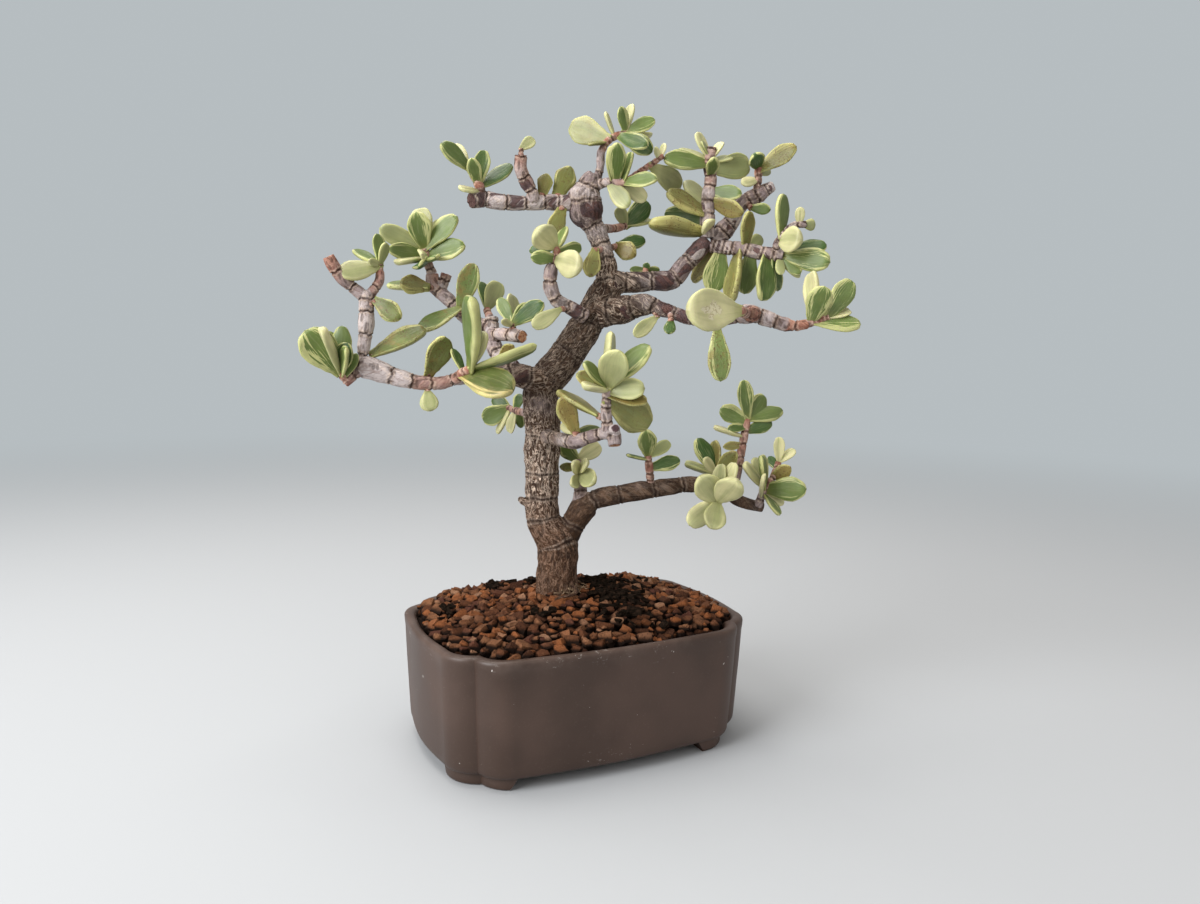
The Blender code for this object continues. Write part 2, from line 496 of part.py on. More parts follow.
def make_screens(parts, parent):
    """A mesh screen over each drain hole, as a thin sheet lying on the pot's floor."""
    look = material("screen_plastic", SCREEN_GREEN, 0.6)
    height = FOOT_HEIGHT + FLOOR_THICKNESS + GAP + SCREEN_THICKNESS / 2
    for name, side in (("drain_screen_left", -1), ("drain_screen_right", 1)):
        builder = bmesh.new()
        size = Matrix.Diagonal((SCREEN_SIZE, SCREEN_SIZE, SCREEN_THICKNESS, 1))
        bmesh.ops.create_cube(builder, size=1, matrix=size)
        screen = place(name, mesh_from(builder, name), parts, parent, look)
        screen.location = (side * DRAIN_SPREAD, 0, height)


def make_soil(parts, parent):
    """The soil, heaped a little towards the trunk, filling the pot with the gap all round."""
    floor_top = FOOT_HEIGHT + FLOOR_THICKNESS
    bottom = floor_top + 2 * GAP + SCREEN_THICKNESS
    edge = pot_ring(SOIL_EDGE, WALL + GAP)
    rings = [pot_ring(bottom, WALL + 3 * MM + GAP), pot_ring(bottom + 4 * MM, WALL + GAP), edge]
    for scale, height in SOIL_HEAP:
        rings.append([Vector((point.x * scale, point.y * scale, height)) for point in edge])
    for ring in rings[2:]:
        for point in ring:
            away = (point.xy - SOIL_DIP_PLACE).length / SOIL_DIP_WIDTH
            lump = noise.noise(Vector((point.x, point.y, 0)) * SOIL_LUMPS_PER_METRE + Vector((0, 0, 3.3)))
            point.z += SOIL_LEAN * point.y / (POT_WIDTH / 2) - SOIL_DIP * math.exp(-away ** 2) + SOIL_LUMP * lump
    return place("soil", mesh_from(loft(rings), "soil"), parts, parent, material("gravel", GRAVEL, 0.9))


# Wood


def tube(name, path, cutters, parent, swell=0.0, sides=2):
    """A round stem along a path, closed at both ends. A swell makes it larger all round."""
    curve = bpy.data.curves.new(name, "CURVE")
    curve.dimensions = "3D"
    curve.bevel_depth = MM
    curve.bevel_resolution = sides
    curve.use_fill_caps = True
    spline = curve.splines.new("POLY")
    spline.points.add(len(path) - 1)
    for point, (right, back, up, radius) in zip(spline.points, path):
        point.co = (right * MM, back * MM, up * MM, 1)
        point.radius = radius + swell / MM
    for end, inner in ((0, 1), (-1, -2)):
        outward = (spline.points[end].co - spline.points[inner].co).normalized()
        spline.points[end].co += swell * outward
    guide = bpy.data.objects.new(name, curve)
    cutters.objects.link(guide)
    evaluated = guide.evaluated_get(bpy.context.evaluated_depsgraph_get())
    mesh = bpy.data.meshes.new_from_object(evaluated)
    bpy.data.objects.remove(guide)
    builder = bmesh.new()
    builder.from_mesh(mesh)
    bmesh.ops.remove_doubles(builder, verts=builder.verts[:], dist=0.01 * MM)
    return as_cutter(place(name, mesh_from(builder, name), cutters, parent))


def make_stem(name, paths, parts, cutters, parent, look):
    """One stem with its forks, as a single body."""
    runs = [tube("%s_run" % name, path, cutters, parent) for path in paths]
    stem = place(name, runs[0].data.copy(), parts, parent, look)
    for run in runs[1:]:
        boolean(stem, run, "UNION")
    return stem


# Leaves


def leaf_width_at(along):
    """How wide a leaf is at a place along it, against a plain oval: narrow at its foot."""
    for (start, low), (end, high) in zip(LEAF_TAPER, LEAF_TAPER[1:]):
        if along <= end:
            return low + (high - low) * (along - start) / (end - start)
    return LEAF_TAPER[-1][1]


def point_on(path, place_along):
    """A point on a shoot's path, counted in the path's own points."""
    index = min(int(place_along), len(path) - 2)
    start = Vector(path[index][:3])
    end = Vector(path[index + 1][:3])
    return start.lerp(end, place_along - index)


def leaf_frame(foot, tip, turn):
    """The leaf's own axes as columns: across, through its thickness, and from foot to tip."""
    along = (tip - foot).normalized()
    face = Vector((0, -1, 0)) - along * along.dot(Vector((0, -1, 0)))
    face.normalize()
    face = Matrix.Rotation(math.radians(turn), 3, along) @ face
    across = face.cross(along)
    return Matrix((across, face, along)).transposed().to_4x4()


def make_leaf(name, foot, tip, width, turn, cutters, parent):
    """A thick oval leaf from its foot, a little way inside the shoot, to its tip."""
    builder = bmesh.new()
    rings = LEAF_RINGS if width > SMALL_LEAF else LEAF_RINGS - 1
    made = bmesh.ops.create_uvsphere(builder, u_segments=LEAF_SIDES, v_segments=rings, radius=0.5)
    foot = foot - LEAF_ROOT * (tip - foot).normalized()
    length = (tip - foot).length
    frame = Matrix.Translation(foot * MM) @ leaf_frame(foot, tip, turn)
    for vertex in made["verts"]:
        along = vertex.co.z + 0.5
        taper = leaf_width_at(along)
        across = vertex.co.x * width * taper
        through = vertex.co.y * width * taper * LEAF_THICKNESS
        vertex.co = frame @ (Vector((across, through, along * length)) * MM)
    return as_cutter(place(name, mesh_from(builder, name), cutters, parent))


def make_shoot(name, runs, parts, cutters, parent, look):
    """A leafy shoot as a single body: its stem, and every leaf that grows from it.

    Many thin leaves cross at one point of a shoot, which the exact solver doesn't always close.
    """
    stems = [tube("%s_run" % name, path, cutters, parent, sides=1) for path, leaves in runs]
    shoot = place(name, stems[0].data.copy(), parts, parent, look)
    for stem in stems[1:]:
        boolean(shoot, stem, "UNION", "MANIFOLD")
    for path, leaves in runs:
        for place_along, right, back, up, width, turn in leaves:
            foot = point_on(path, place_along)
            tip = Vector((right, back, up))
            leaf = make_leaf("%s_leaf" % name, foot, tip, width, turn, cutters, parent)
            boolean(shoot, leaf, "UNION", "MANIFOLD")
    return shoot


# Assembly


def world_box(made):
    """The lowest and highest corner of an object's box as it stands, with its modifiers."""
    evaluated = made.evaluated_get(bpy.context.evaluated_depsgraph_get())
    points = [evaluated.matrix_world @ vertex.co for vertex in evaluated.data.vertices]
    low = Vector([min(point[axis] for point in points) for axis in range(3)])
    high = Vector([max(point[axis] for point in points) for axis in range(3)])
    return low, high


def near(made, other, margin):
    """Whether two objects' boxes come within a margin of each other."""
    low, high = world_box(made)
    other_low, other_high = world_box(other)
    return all(low[axis] - margin < other_high[axis] and other_low[axis] - margin < high[axis]
               for axis in range(3))


def clear_of(made, name, paths, cutters, parent, solver="EXACT"):
    """Cuts an object back from a stem's runs by the gap, where it comes near them."""
    for path in paths:
        swollen = tube("%s_clearance" % name, path, cutters, parent, swell=GAP)
        bpy.context.view_layer.update()
        if near(made, swollen, GAP):
            boolean(made, swollen, "DIFFERENCE", solver)
        else:
            bpy.data.objects.remove(swollen)


def main():
    """Builds the plant, then sets its origin under the middle of its box."""
    for old in list(bpy.data.objects):
        bpy.data.objects.remove(old)
    parts = bpy.data.collections.new("potted_jade_plant")
    cutters = bpy.data.collections.new("cutters")
    for collection in (parts, cutters):
        bpy.context.scene.collection.children.link(collection)
    origin = bpy.data.objects.new("plant_origin", None)
    tree = bpy.data.objects.new("tree", None)
    for empty in (origin, tree):
        parts.objects.link(empty)
    tree.parent = origin
    tree.location = TREE_FOOT
    tree.rotation_euler = (0, 0, TREE_TURN)

    make_pot(parts, cutters, origin)
    make_screens(parts, origin)
    soil = make_soil(parts, origin)
    bark = material("bark", BARK, 0.8)
    green = material("jade_leaf", LEAF, 0.4)
    stems = {}
    for name, paths in STEMS.items():
        stem = make_stem(name, paths, parts, cutters, tree, bark)
        bpy.context.view_layer.update()
        for other in stems:
            clear_of(stem, other, STEMS[other], cutters, tree)
        stems[name] = stem
    clear_of(soil, "trunk", STEMS["trunk"], cutters, tree)
    for name, runs in SHOOTS.items():
        shoot = make_shoot(name, runs, parts, cutters, tree, green)
        bpy.context.view_layer.update()
        for other in stems:
            clear_of(shoot, other, STEMS[other], cutters, tree, "MANIFOLD")

    bpy.context.view_layer.update()
    boxes = [world_box(made) for made in parts.objects if made.type == "MESH"]
    low = Vector([min(box[0][axis] for box in boxes) for axis in range(3)])
    high = Vector([max(box[1][axis] for box in boxes) for axis in range(3)])
    origin.location = (-(low.x + high.x) / 2, -(low.y + high.y) / 2, -low.z)


main()
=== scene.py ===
"""The looks of a small variegated jade plant, trained as a tree in an unglazed clay pot.

The wood, the leaves, the soil and the pot are detailed pieces that stand for the plain solids.
Metres, +Z up. The tree's tables are in millimetres in the tree's own frame.
"""
import math
import random
from collections import namedtuple
from contextlib import contextmanager

import bmesh
import bpy
from mathutils import Matrix, Vector, noise
from mathutils.kdtree import KDTree


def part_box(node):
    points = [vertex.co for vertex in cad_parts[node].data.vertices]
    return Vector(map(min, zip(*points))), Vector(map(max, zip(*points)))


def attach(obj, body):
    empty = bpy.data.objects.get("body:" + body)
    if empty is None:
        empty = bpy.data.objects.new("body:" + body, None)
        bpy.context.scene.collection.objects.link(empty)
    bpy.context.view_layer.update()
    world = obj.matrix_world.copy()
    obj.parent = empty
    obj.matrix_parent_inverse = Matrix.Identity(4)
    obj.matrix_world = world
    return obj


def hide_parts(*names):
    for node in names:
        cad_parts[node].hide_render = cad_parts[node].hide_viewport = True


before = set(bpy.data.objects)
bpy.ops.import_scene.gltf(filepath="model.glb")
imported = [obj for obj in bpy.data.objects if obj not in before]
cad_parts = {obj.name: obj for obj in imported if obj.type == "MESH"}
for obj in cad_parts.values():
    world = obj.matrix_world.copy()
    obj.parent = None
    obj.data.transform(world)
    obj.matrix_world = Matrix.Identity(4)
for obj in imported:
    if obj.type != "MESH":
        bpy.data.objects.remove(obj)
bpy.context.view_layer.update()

MM = 0.001
POT_LOW, POT_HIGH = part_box("pot")
POT_MIDDLE = Vector(((POT_LOW.x + POT_HIGH.x) / 2, (POT_LOW.y + POT_HIGH.y) / 2, 0))
TREE_FOOT = POT_MIDDLE + Vector((-7.2 * MM, 5.1 * MM, 0))
TREE_TURN = math.radians(-25.9)
TREE = Matrix.Translation(TREE_FOOT) @ Matrix.Rotation(TREE_TURN, 4, "Z")

# Stems: points (right, back, up, radius) in millimetres, one path for each run of wood.
STEMS = {
    "trunk": [
        [(0, 0, 50, 12), (0, 0, 66, 11.2), (0, 0, 79, 10.2), (0, 0, 94, 10), (-7, 0, 106, 8.5),
         (-8, 0, 121, 8.3), (-8, 0, 139, 8.5), (-8, 0, 156, 9), (-9, 0, 167, 8.8), (-6, 1, 175, 8.8),
         (1, 2, 184, 8.6), (9, 2, 196, 8.1), (15, 2, 206, 8.1), (20, 2, 215, 8), (23, 2, 221, 7)],
        [(-4, -3, 56, 7), (-17, -9, 47, 4), (-28, -14, 34, 1.5)],
        [(5, -4, 56, 7), (16, -14, 46, 4), (26, -22, 32, 1.5)],
        [(5, 3, 56, 7), (19, 8, 47, 4), (33, 12, 36, 1.5)],
        [(-3, 5, 56, 7), (-9, 17, 46, 4), (-16, 26, 32, 1.5)],
        [(-13, -4, 114.5, 2), (-16.5, -4, 116, 1.8), (-19, -4, 118, 1.2)],
        [(7, -6, 75, 1.5), (10, -10, 73.6, 1), (9, -15, 73, 0.8), (4, -18, 72.5, 0.7),
         (0, -21, 72, 0.6)]],
    "crown_leader": [
        [(23, 2, 218, 6.4), (22, 3, 229, 5.1), (20, 4, 238, 4.7), (16, 5, 248, 5), (12, 5, 256, 8.2),
         (11, 5, 263, 8.4), (13, 5, 269, 5.6), (15, 5, 274, 3.4)],
        [(16, 5, 270, 2.2), (18, 6, 277, 2), (18, 6, 285, 1.8)]],
    "crown_left_twig": [
        [(4, 4, 260, 3.7), (-8, 2, 260, 3.6), (-17, 0, 259, 3.4), (-29, -3, 259, 3.7),
         (-37, -4, 260, 4.1), (-42, -8, 258.5, 3.8)],
        [(-13, -1, 260, 2.6), (-14, -2, 264, 2.9), (-17, -3, 269, 3.4), (-19, -5, 274, 2.8),
         (-19, -6, 280, 3.2)]],
    "upper_right_limb": [
        [(25, 2, 223, 5.9), (34, 4, 223, 5), (44, 6, 224, 4.7), (54, 8, 225, 4.7), (60, 9, 232, 4.5),
         (67, 11, 240, 4.2), (71, 12, 244, 3.5)]],
    "knobby_twig": [
        [(75, 13, 244, 3), (79, 15, 249, 5), (83, 17, 254, 4), (88, 20, 263, 3.6), (96, 22, 268, 4.1),
         (104, 25, 273, 2.6)]],
    "lower_right_limb": [
        [(20, -2, 208, 7.3), (31, -6, 210, 6.5), (41, -9, 212, 4.8), (48, -12, 210, 3.3),
         (57, -15, 207, 3.1), (66, -18, 205, 3), (77, -22, 206, 3.2), (86, -25, 208, 4.3),
         (92, -25, 207, 3.7), (102, -25, 204, 3.3), (108, -25, 203, 2.5), (114, -25, 204, 2)],
        [(87, -25, 208, 3.2), (88, -28, 208, 3.4), (88, -31, 208, 3)]],
    "short_twig": [
        [(12, -6, 206, 3.6), (5, -10, 210, 3.2), (-1, -13, 213, 3.2), (-4, -15, 219, 3.4),
         (-4, -16, 225, 3.2), (-3, -16, 229, 2.7)]],
    "front_twig": [
        [(-6, -7, 149, 3.3), (2, -16, 148, 3.3), (9, -22, 148, 3.5), (16, -28, 151, 3),
         (22, -32, 153, 2.9), (26, -34, 153, 3.6), (27, -36, 148, 2.9)],
        [(24, -33, 152, 2.9), (23, -34, 160, 2.7), (23, -35, 167, 2.7)],
        [(26, -34, 154.5, 2.2), (27, -37, 155.5, 2.1), (27, -39, 156, 1.9)]],
    "left_branch": [
        [(-7, -2, 173, 6.3), (-14, -6, 176, 6.2), (-24, -10, 179, 5.2), (-36, -14, 177, 3.3),
         (-47, -18, 176, 3), (-54, -20, 174, 3), (-63, -21, 174, 3.4), (-73, -22, 176, 4.1),
         (-82, -22, 179, 4.9), (-89, -22, 181, 5.3), (-93, -22, 181, 4.2)],
        [(-90, -23, 180, 2.2), (-94, -25, 176, 2.1), (-97, -26, 173, 1.8)]],
    "left_riser": [
        [(-90, -22, 184, 2.2), (-89, -22, 191, 3), (-88, -22, 200, 3.7), (-88, -21, 209, 3.5),
         (-88, -21, 214, 3.5)],
        [(-89, -21, 213, 2.8), (-94, -22, 217, 2.8), (-98, -25, 221, 2.8), (-101, -27, 226, 3),
         (-103, -28, 230, 2.5)],
        [(-87, -21, 213, 2.4), (-84, -18, 218, 2.3), (-83, -16, 221, 2.1), (-83, -15, 225, 1.9)]],
    "left_upper_branch": [
        [(-21, -9, 181, 3.8), (-27, -3, 185, 4.4), (-31, 0, 189, 3.9), (-33, 4, 196, 3.7),
         (-34, 7, 205, 3.5)],
        [(-33, 2, 197, 2.7), (-26, -5, 197, 3.1), (-17, -13, 196, 3.1)],
        [(-34, 5, 200, 3.2), (-42, 7, 203, 3.2), (-48, 8, 206, 3.5), (-56, 10, 214, 3.2),
         (-63, 12, 220, 3.5), (-64, 12, 226, 3)],
        [(-60, 12, 217, 2.4), (-57, 13, 226, 2.7)]],
    "low_right_branch": [
        [(3, 2, 96, 6.4), (8, 1, 105, 6.3), (13, 1, 113, 6.6), (19, 1, 117, 4.9), (34, 3, 120, 4.7),
         (48, 5, 122, 4.4), (66, 9, 124, 4), (79, 12, 122, 3.2), (92, 14, 115, 3), (104, 14, 112, 2.5)],
        [(11, 1, 115, 3.9), (11, 4, 123, 3.2)]],
}

# Shoots: runs of (the young stem's path, its leaves). A leaf is its place along the path, its tip
# (right, back, up), its width, its turn in degrees, where it has one, and its kind.
SHOOTS = {
    "far_left_leaves": [
        ([(-96, -26, 174, 1.8), (-99, -27, 178, 1.6)],
         [(1, -113, -33, 197, 17, 20, "S"), (1, -103, -37, 199, 9, -25, "C"),
          (1, -99, -20, 199, 10, -10, "G"), (0.8, -108, -22, 196, 8, 10, "S"),
          (1, -94, -30, 192, 10, "D"), (0.7, -92, -36, 190, 6, "G"), (0.5, -91, -26, 187, 6, "G")])],
    "left_riser_leaf": [
        ([(-86, -22, 209, 1.6), (-83, -23, 211, 1.2)],
         [(1, -71, -26, 203, 10, "M")])],
    "left_fork_leaf": [
        ([(-85, -22, 182, 1.6), (-86, -20, 186, 1.4)],
         [(1, -62, -12, 198, 7.5, 15, "M")])],
    "left_arm_leaves": [
        ([(-83, -15, 224, 1.6), (-83, -15, 228, 1.4)],
         [(1, -86, -9, 242, 6, 15, "G"), (1, -80, -17, 238, 6, 60, "P"),
          (0.8, -99, -26, 222, 11, 25, "P"), (0.8, -97, -9, 234, 5, "G"), (1, -87, -21, 229, 4, "P")])],
    "left_rosette": [
        ([(-64, 12, 226, 2.5), (-66, 11, 232, 2.2), (-67, 10, 238, 2)],
         [(2, -88, 5, 247, 10, -20, "P"), (2, -70, 16, 258, 12, "P"), (2, -70, 4, 255, 12, "V"),
          (2, -60, 18, 253, 7, "P"), (2, -50, 7, 253, 7, 30, "G"), (1.4, -83, -1, 236, 9, 20, "G"),
          (1.3, -46, 4, 239, 8, 35, "G"), (1.2, -78, -5, 230, 5, "C"), (1.4, -65, -6, 234, 7, 40, "C"),
          (1.1, -59, -5, 232, 5, "G"), (1, -67, -7, 228, 5, "D")])],
    "left_pair_leaves": [
        ([(-63, 10, 219, 1.5), (-65, 6, 219, 1.2)],
         [(1, -78, 3, 221, 10, 10, "O"), (1, -86, 12, 220, 8, 20, "M")])],
    "upper_left_leaves": [
        ([(-48, 7, 206, 1.8), (-49, 2, 209, 1.6)],
         [(1, -67, -6, 197, 9, "M"), (0.8, -42, 3, 231, 11, 10, "M")])],
    "grey_stub_leaves": [
        ([(-35, 9, 205, 2), (-37, 13, 209, 1.8)],
         [(1, -32, 18, 223, 10, 10, "P"), (1, -41, 22, 223, 6, "D")])],
    "big_front_leaves": [
        ([(-47, -21, 176, 2.6), (-43, -25, 179, 2.3), (-39, -28, 181, 1.8)],
         [(2, -33, -46, 213, 15, -15, "G"), (1.8, -32, -30, 198, 7, 10, "P"), (1, -49, -22, 190, 3, "D"),
          # The second leaf on this line, of kind U, hangs with its underside to the view and is painted
          # dark as shade.
          (2, -8, -34, 189, 7, -40, "G"), (0.7, -18, -42, 172, 13, 15, "U")])],
    "stub_rosette": [
        ([(-22, -8, 198, 1.7), (-22, -8, 202, 1.4)],
         [(1, -29, -3, 214, 7, "G"), (1, -25, 4, 215, 6, "P"), (1, -15, -7, 212, 7, 20, "G"),
          (1, -7, -13, 212, 7, 30, "D"), (0.7, -27, -14, 204, 4, "C")])],
    "pale_twig_leaf": [
        ([(4, -12, 210, 1.4), (1, -15, 209, 1.2)],
         [(1, -12, -17, 200, 8, 20, "P")])],
    "crotch_leaf": [
        ([(-28, -5, 186, 1.7), (-27, -9, 187, 1.4)],
         [(1, -21, -13, 192, 7, 10, "O")])],
    "back_left_leaves": [
        ([(-12, 6, 158, 2), (-22, 24, 158, 1.8), (-28, 34, 159, 1.6)],
         [(2, -42, 38, 152, 11, "G"), (2, -37, 40, 164, 8, "D"), (1.3, -22, 34, 166, 6, "D"),
          (1.8, -34, 36, 145, 5, "C"), (1.3, -27, 30, 146, 5, "C"), (1, -21, 30, 149, 5, "G")])],
    "hanging_left_leaf": [
        ([(-60, -21, 173, 1.6), (-60, -22, 170, 1.4)],
         [(1, -58, -25, 161, 9, "P")])],
    "branch_top_leaf": [
        ([(-60, -20, 175, 1.6), (-60, -20, 178, 1.4)],
         [(1, -52, -23, 196, 13, 30, "M")])],
    "crown_left_leaves": [
        ([(-38, -5, 261, 2.4), (-38, -6, 265, 2.2), (-41, -7, 270, 1.7), (-43, -7, 273, 1.4)],
         [(3, -55, -14, 283, 10, 30, "G"), (3, -52, 2, 284, 9, "C"), (1.2, -41, -14, 277, 7, 10, "V"),
          (1.2, -36, -4, 282, 6, 50, "D"), (1, -24, 4, 276, 9, -25, "D"), (0.6, -47, -14, 262, 4, "C")])],
    "crown_stub_leaf": [
        ([(-19, -5, 279, 1.4), (-19, -5, 283, 1.2)],
         [(1, -13, -3, 288, 6, "P")])],
    "crown_olive_leaf_left": [
        ([(-10, 2, 260, 1.5), (-9, 1, 264, 1.5)],
         [(0.9, -7, 1, 273, 8, "B")])],
    "crown_olive_leaf_right": [
        ([(-2, 3, 260, 1.5), (-2, 3, 264, 1.5)],
         [(0.9, 4, 3, 277, 11, "B")])],
    "under_knob_leaf": [
        ([(0, 2, 260, 1.5), (0, 1, 256, 1.5)],
         [(0.9, -4, -3, 244, 9, "B")])],
    "short_twig_leaves": [
        ([(-3, -16, 228, 1.9), (-1, -18, 234, 1.6), (-2, -19, 237, 1.4)],
         [(2, -10, -30, 244, 13, "C"), (2, -14, -16, 235, 6, "D"), (0.7, -13, -21, 232, 7, "G"),
          (0.6, 11, -31, 227, 13, 5, "C"), (1.2, 10, -11, 238, 7, 20, "G"), (1.4, 3, -5, 246, 6, "V")])],
    "leader_left_leaf": [
        ([(19, 0, 238, 1.5), (16, -5, 237, 1.4)],
         [(0.9, 14, -8, 224, 9, "O")])],
    "crown_top_leaves": [
        ([(18, 6, 284, 1.8), (21, 6, 289, 1.7), (25, 7, 292, 1.7), (30, 8, 294, 1.5)],
         [(1.2, 4, 17, 298, 14, "K"), (1, 12, 0, 286, 5, 60, "K"), (1.9, 19, 8, 303, 4, 20, "P"),
          (3, 27, 3, 305, 6, 20, "V"), (3, 33, 13, 308, 5, "C"), (3, 44, 8, 300, 6, 30, "G"),
          (2.2, 40, -6, 285, 9, -20, "D"), (2.6, 43, 8, 285, 10, "D"), (2.5, 42, 22, 296, 6, "C")])],
    "crown_right_leaves": [
        ([(17, 4, 269, 2.5), (24, 1, 270, 2), (29, -1, 269, 1.7), (37, 4, 275, 1.5), (48, 6, 283, 1.2)],
         [(1, 22, -6, 285, 7, 15, "V"), (1.3, 26, -14, 285, 9, -10, "V"), (2, 33, -3, 283, 5, "V"),
          (2, 45, -11, 269, 8, -25, "G"), (0.7, 32, -5, 257, 6, 50, "P"), (1.8, 40, 4, 262, 8, "C"),
          (3.4, 58, 25, 271, 12, "P"), (3.9, 49, 8, 289, 3, "C"), (3.8, 44, 4, 287, 3, "C")])],
    "mid_back_leaves": [
        ([(19, 8, 249, 2.2), (25, 17, 250, 2), (31, 22, 252, 1.8)],
         [(2, 42, 28, 264, 11, "D"), (2, 27, 20, 261, 7, "P"), (2, 44, 32, 256, 5, "P")])],
    "leader_right_leaves": [
        ([(22, 6, 239, 1.7), (27, 12, 241, 1.5)],
         [(0.9, 41, 17, 245, 6, 30, "D"), (0.9, 36, 6, 236, 10, "O")])],
    "limb_top_leaves": [
        ([(40, 8, 225, 1.7), (41, 9, 230, 1.5)],
         [(0.9, 33, 6, 229, 4, 20, "V"), (0.9, 48, 12, 230, 4, 20, "G"), (0.9, 42, 8, 233, 4, "D")])],
    "upper_right_shoot": [
        ([(71, 13, 246, 3.6), (71, 13, 254, 3.6), (71, 13, 264, 3.4), (72, 14, 274, 3),
          (71, 14, 281, 2.8), (72, 14, 289, 2.4)],
         [(4, 48, 8, 281, 9, -20, "G"), (4.3, 56, 20, 288, 5, "P"), (4.3, 64, 16, 296, 5, "C"),
          (4.4, 66, 11, 291, 3, "P"), (3.2, 72, 2, 282, 7, "V"), (4.2, 78, 16, 292, 4, "C"),
          (4.1, 83, 18, 285, 4, "P"), (3.6, 91, 26, 283, 13, "P"), (2.4, 87, 8, 266, 8, "G"),
          (2, 88, 6, 257, 9, 20, "O"), (0.4, 68, -3, 252, 9, "C"), (0.2, 42, 1, 249, 8, 45, "O"),
          (1.3, 49, 6, 265, 10, "O"), (1.6, 61, 26, 274, 9, "P"), (1, 51, 22, 258, 11, "D")])],
    "knobby_leaves": [
        ([(96, 22, 268, 2.3), (96, 20, 274, 2), (96, 19, 281, 1.8)],
         [(2, 92, 10, 286, 9, "D"), (1.8, 114, 16, 290, 6, 40, "O"), (1.2, 87, 15, 272, 6, 20, "C"),
          (1.6, 102, 28, 282, 7, "P")])],
    "knobby_low_leaf": [
        ([(90, 19, 264, 1.8), (93, 17, 261, 1.5)],
         [(0.9, 102, 14, 260, 6, "G")])],
    "right_outer_shoot": [
        ([(73, 12, 242, 3.4), (80, 10, 241, 3.4), (89, 8, 240, 3.4), (99, 6, 238, 3.4),
          (107, 4, 237, 2.8)],
         [(0.7, 74, 14, 220, 13, "S"), (0.5, 67, 20, 224, 7, "O"), (1.7, 83, -2, 214, 9, 15, "O"),
          (2.3, 90, 12, 219, 11, "G"), (3, 96, -6, 215, 10, 20, "D"), (3.4, 105, 6, 220, 6, "D"),
          (3.8, 105, -1, 227, 5, "P"), (3.6, 117, 14, 228, 6, 20, "G"), (2, 88, 3, 258, 7, "O"),
          (2.2, 97, 14, 247, 7, "P"), (4, 128, 5, 242, 8, "D"), (3.9, 115, 0, 228, 7, "G"),
          (4, 128, -5, 233, 12, "S")]),
        ([(103, 5, 239, 2), (105, 2, 245, 2), (111, 3, 251, 1.7), (117, 4, 252, 1.5)],
         [(1, 104, 6, 266, 7, "G"), (0.8, 113, -10, 243, 13, "C"), (2.5, 114, 3, 260, 5, "C"),
          (2.9, 122, 6, 252, 6, "P")])],
    "lower_right_leaves": [
        ([(113, -25, 204, 1.8), (117, -25, 205, 1.8), (123, -25, 207, 1.6)],
         [(0.5, 119, -32, 221, 12, "S"), (1.9, 134, -18, 224, 11, "V"), (0.8, 138, -25, 204, 7, 20, "V"),
          (1.8, 134, -21, 210, 5, "C"), (1, 118, -16, 228, 6, "C"), (1, 125, -20, 214, 7, 20, "C")])],
    "big_round_leaf": [
        ([(86, -27, 208, 2.6), (81, -36, 209, 2.2)],
         [(0.9, 55, -50, 208, 19, "R")])],
    "hanging_speckled_leaf": [
        ([(73, -21, 205, 1.9), (73, -22, 201, 1.6)],
         [(0.9, 75, -26, 177, 11, "H")])],
    "limb_under_leaf": [
        ([(45, -11, 210, 1.7), (46, -13, 206, 1.4)],
         [(0.9, 35, -18, 197, 7, "P")])],
    "limb_small_leaf": [
        ([(52, -15, 208, 1.4), (52, -19, 204, 1.4)],
         [(0.9, 51, -21, 198, 6, "D")])],
    "front_rosette": [
        ([(23, -35, 166, 2.2), (23, -36, 170, 2.2), (23, -37, 174, 1.8)],
         [(2, 28, -46, 191, 14, "P"), (2, 22, -34, 199, 6, 10, "P"), (2, 42, -33, 193, 7, 20, "G"),
          (2, 12, -45, 185, 7, 20, "G"), (2, 9, -37, 180, 8, "O"), (1.6, 13, -52, 175, 6, 35, "C"),
          (1.6, 40, -40, 174, 10, -10, "P"), (1.2, 41, -38, 167, 5, 30, "O"),
          (0.9, 42, -24, 157, 17, "K"), (1.8, 18, -33, 181, 4, "P")])],
    "front_twig_leaves": [
        ([(9, -23, 148, 1.8), (9, -24, 153, 1.8)],
         [(0.9, 2, -26, 169, 10, "O"), (0.8, 2, -16, 155, 5, "C"), (0.8, 20, -14, 153, 5, "G")]),
        ([(23, -33, 159, 1.6), (19, -31, 161, 1.4)],
         [(1, 0, -18, 171, 9, 30, "O")])],
    "low_stub_leaves": [
        ([(11, 4, 122, 2.9), (10, 8, 128, 2.2), (9, 11, 135, 1.7)],
         [(2, 1, 15, 142, 9, "V"), (2, 20, 18, 142, 9, "C"), (1.5, 0, 8, 132, 5, "O"),
          (1, 7, -2, 136, 5, "C"), (1.3, 19, -4, 125, 10, "P"), (1.2, 15, -3, 136, 5, "C"),
          (0.8, 6, -3, 124, 7, "P")])],
    "small_shoot": [
        ([(46, 5, 123, 2), (45, 3, 132, 2), (44, 2, 139, 1.7)],
         [(2, 42, -5, 153, 10, "V"), (1.9, 55, 6, 145, 4, 30, "P"), (1.1, 60, 8, 136, 5, 40, "D"),
          (1.7, 33, 0, 139, 4, 30, "D")])],
    "low_right_twig": [
        ([(88, 14, 117, 2.5), (91, 18, 131, 2.3), (94, 22, 146, 2), (96, 24, 156, 1.5)],
         [(3, 93, 27, 176, 9, "V"), (3, 105, 32, 168, 10, "G"), (3, 115, 30, 160, 5, 30, "G"),
          (2.9, 82, 27, 161, 10, 10, "V"), (2.6, 85, 20, 150, 6, 40, "D"),
          (2.4, 109, 28, 154, 6, 30, "D"), (2.1, 78, 20, 152, 5, 20, "C"),
          (1.8, 83, 19, 142, 5, 20, "O")]),
        ([(89, 15, 122, 2), (80, 17, 128, 1.8)],
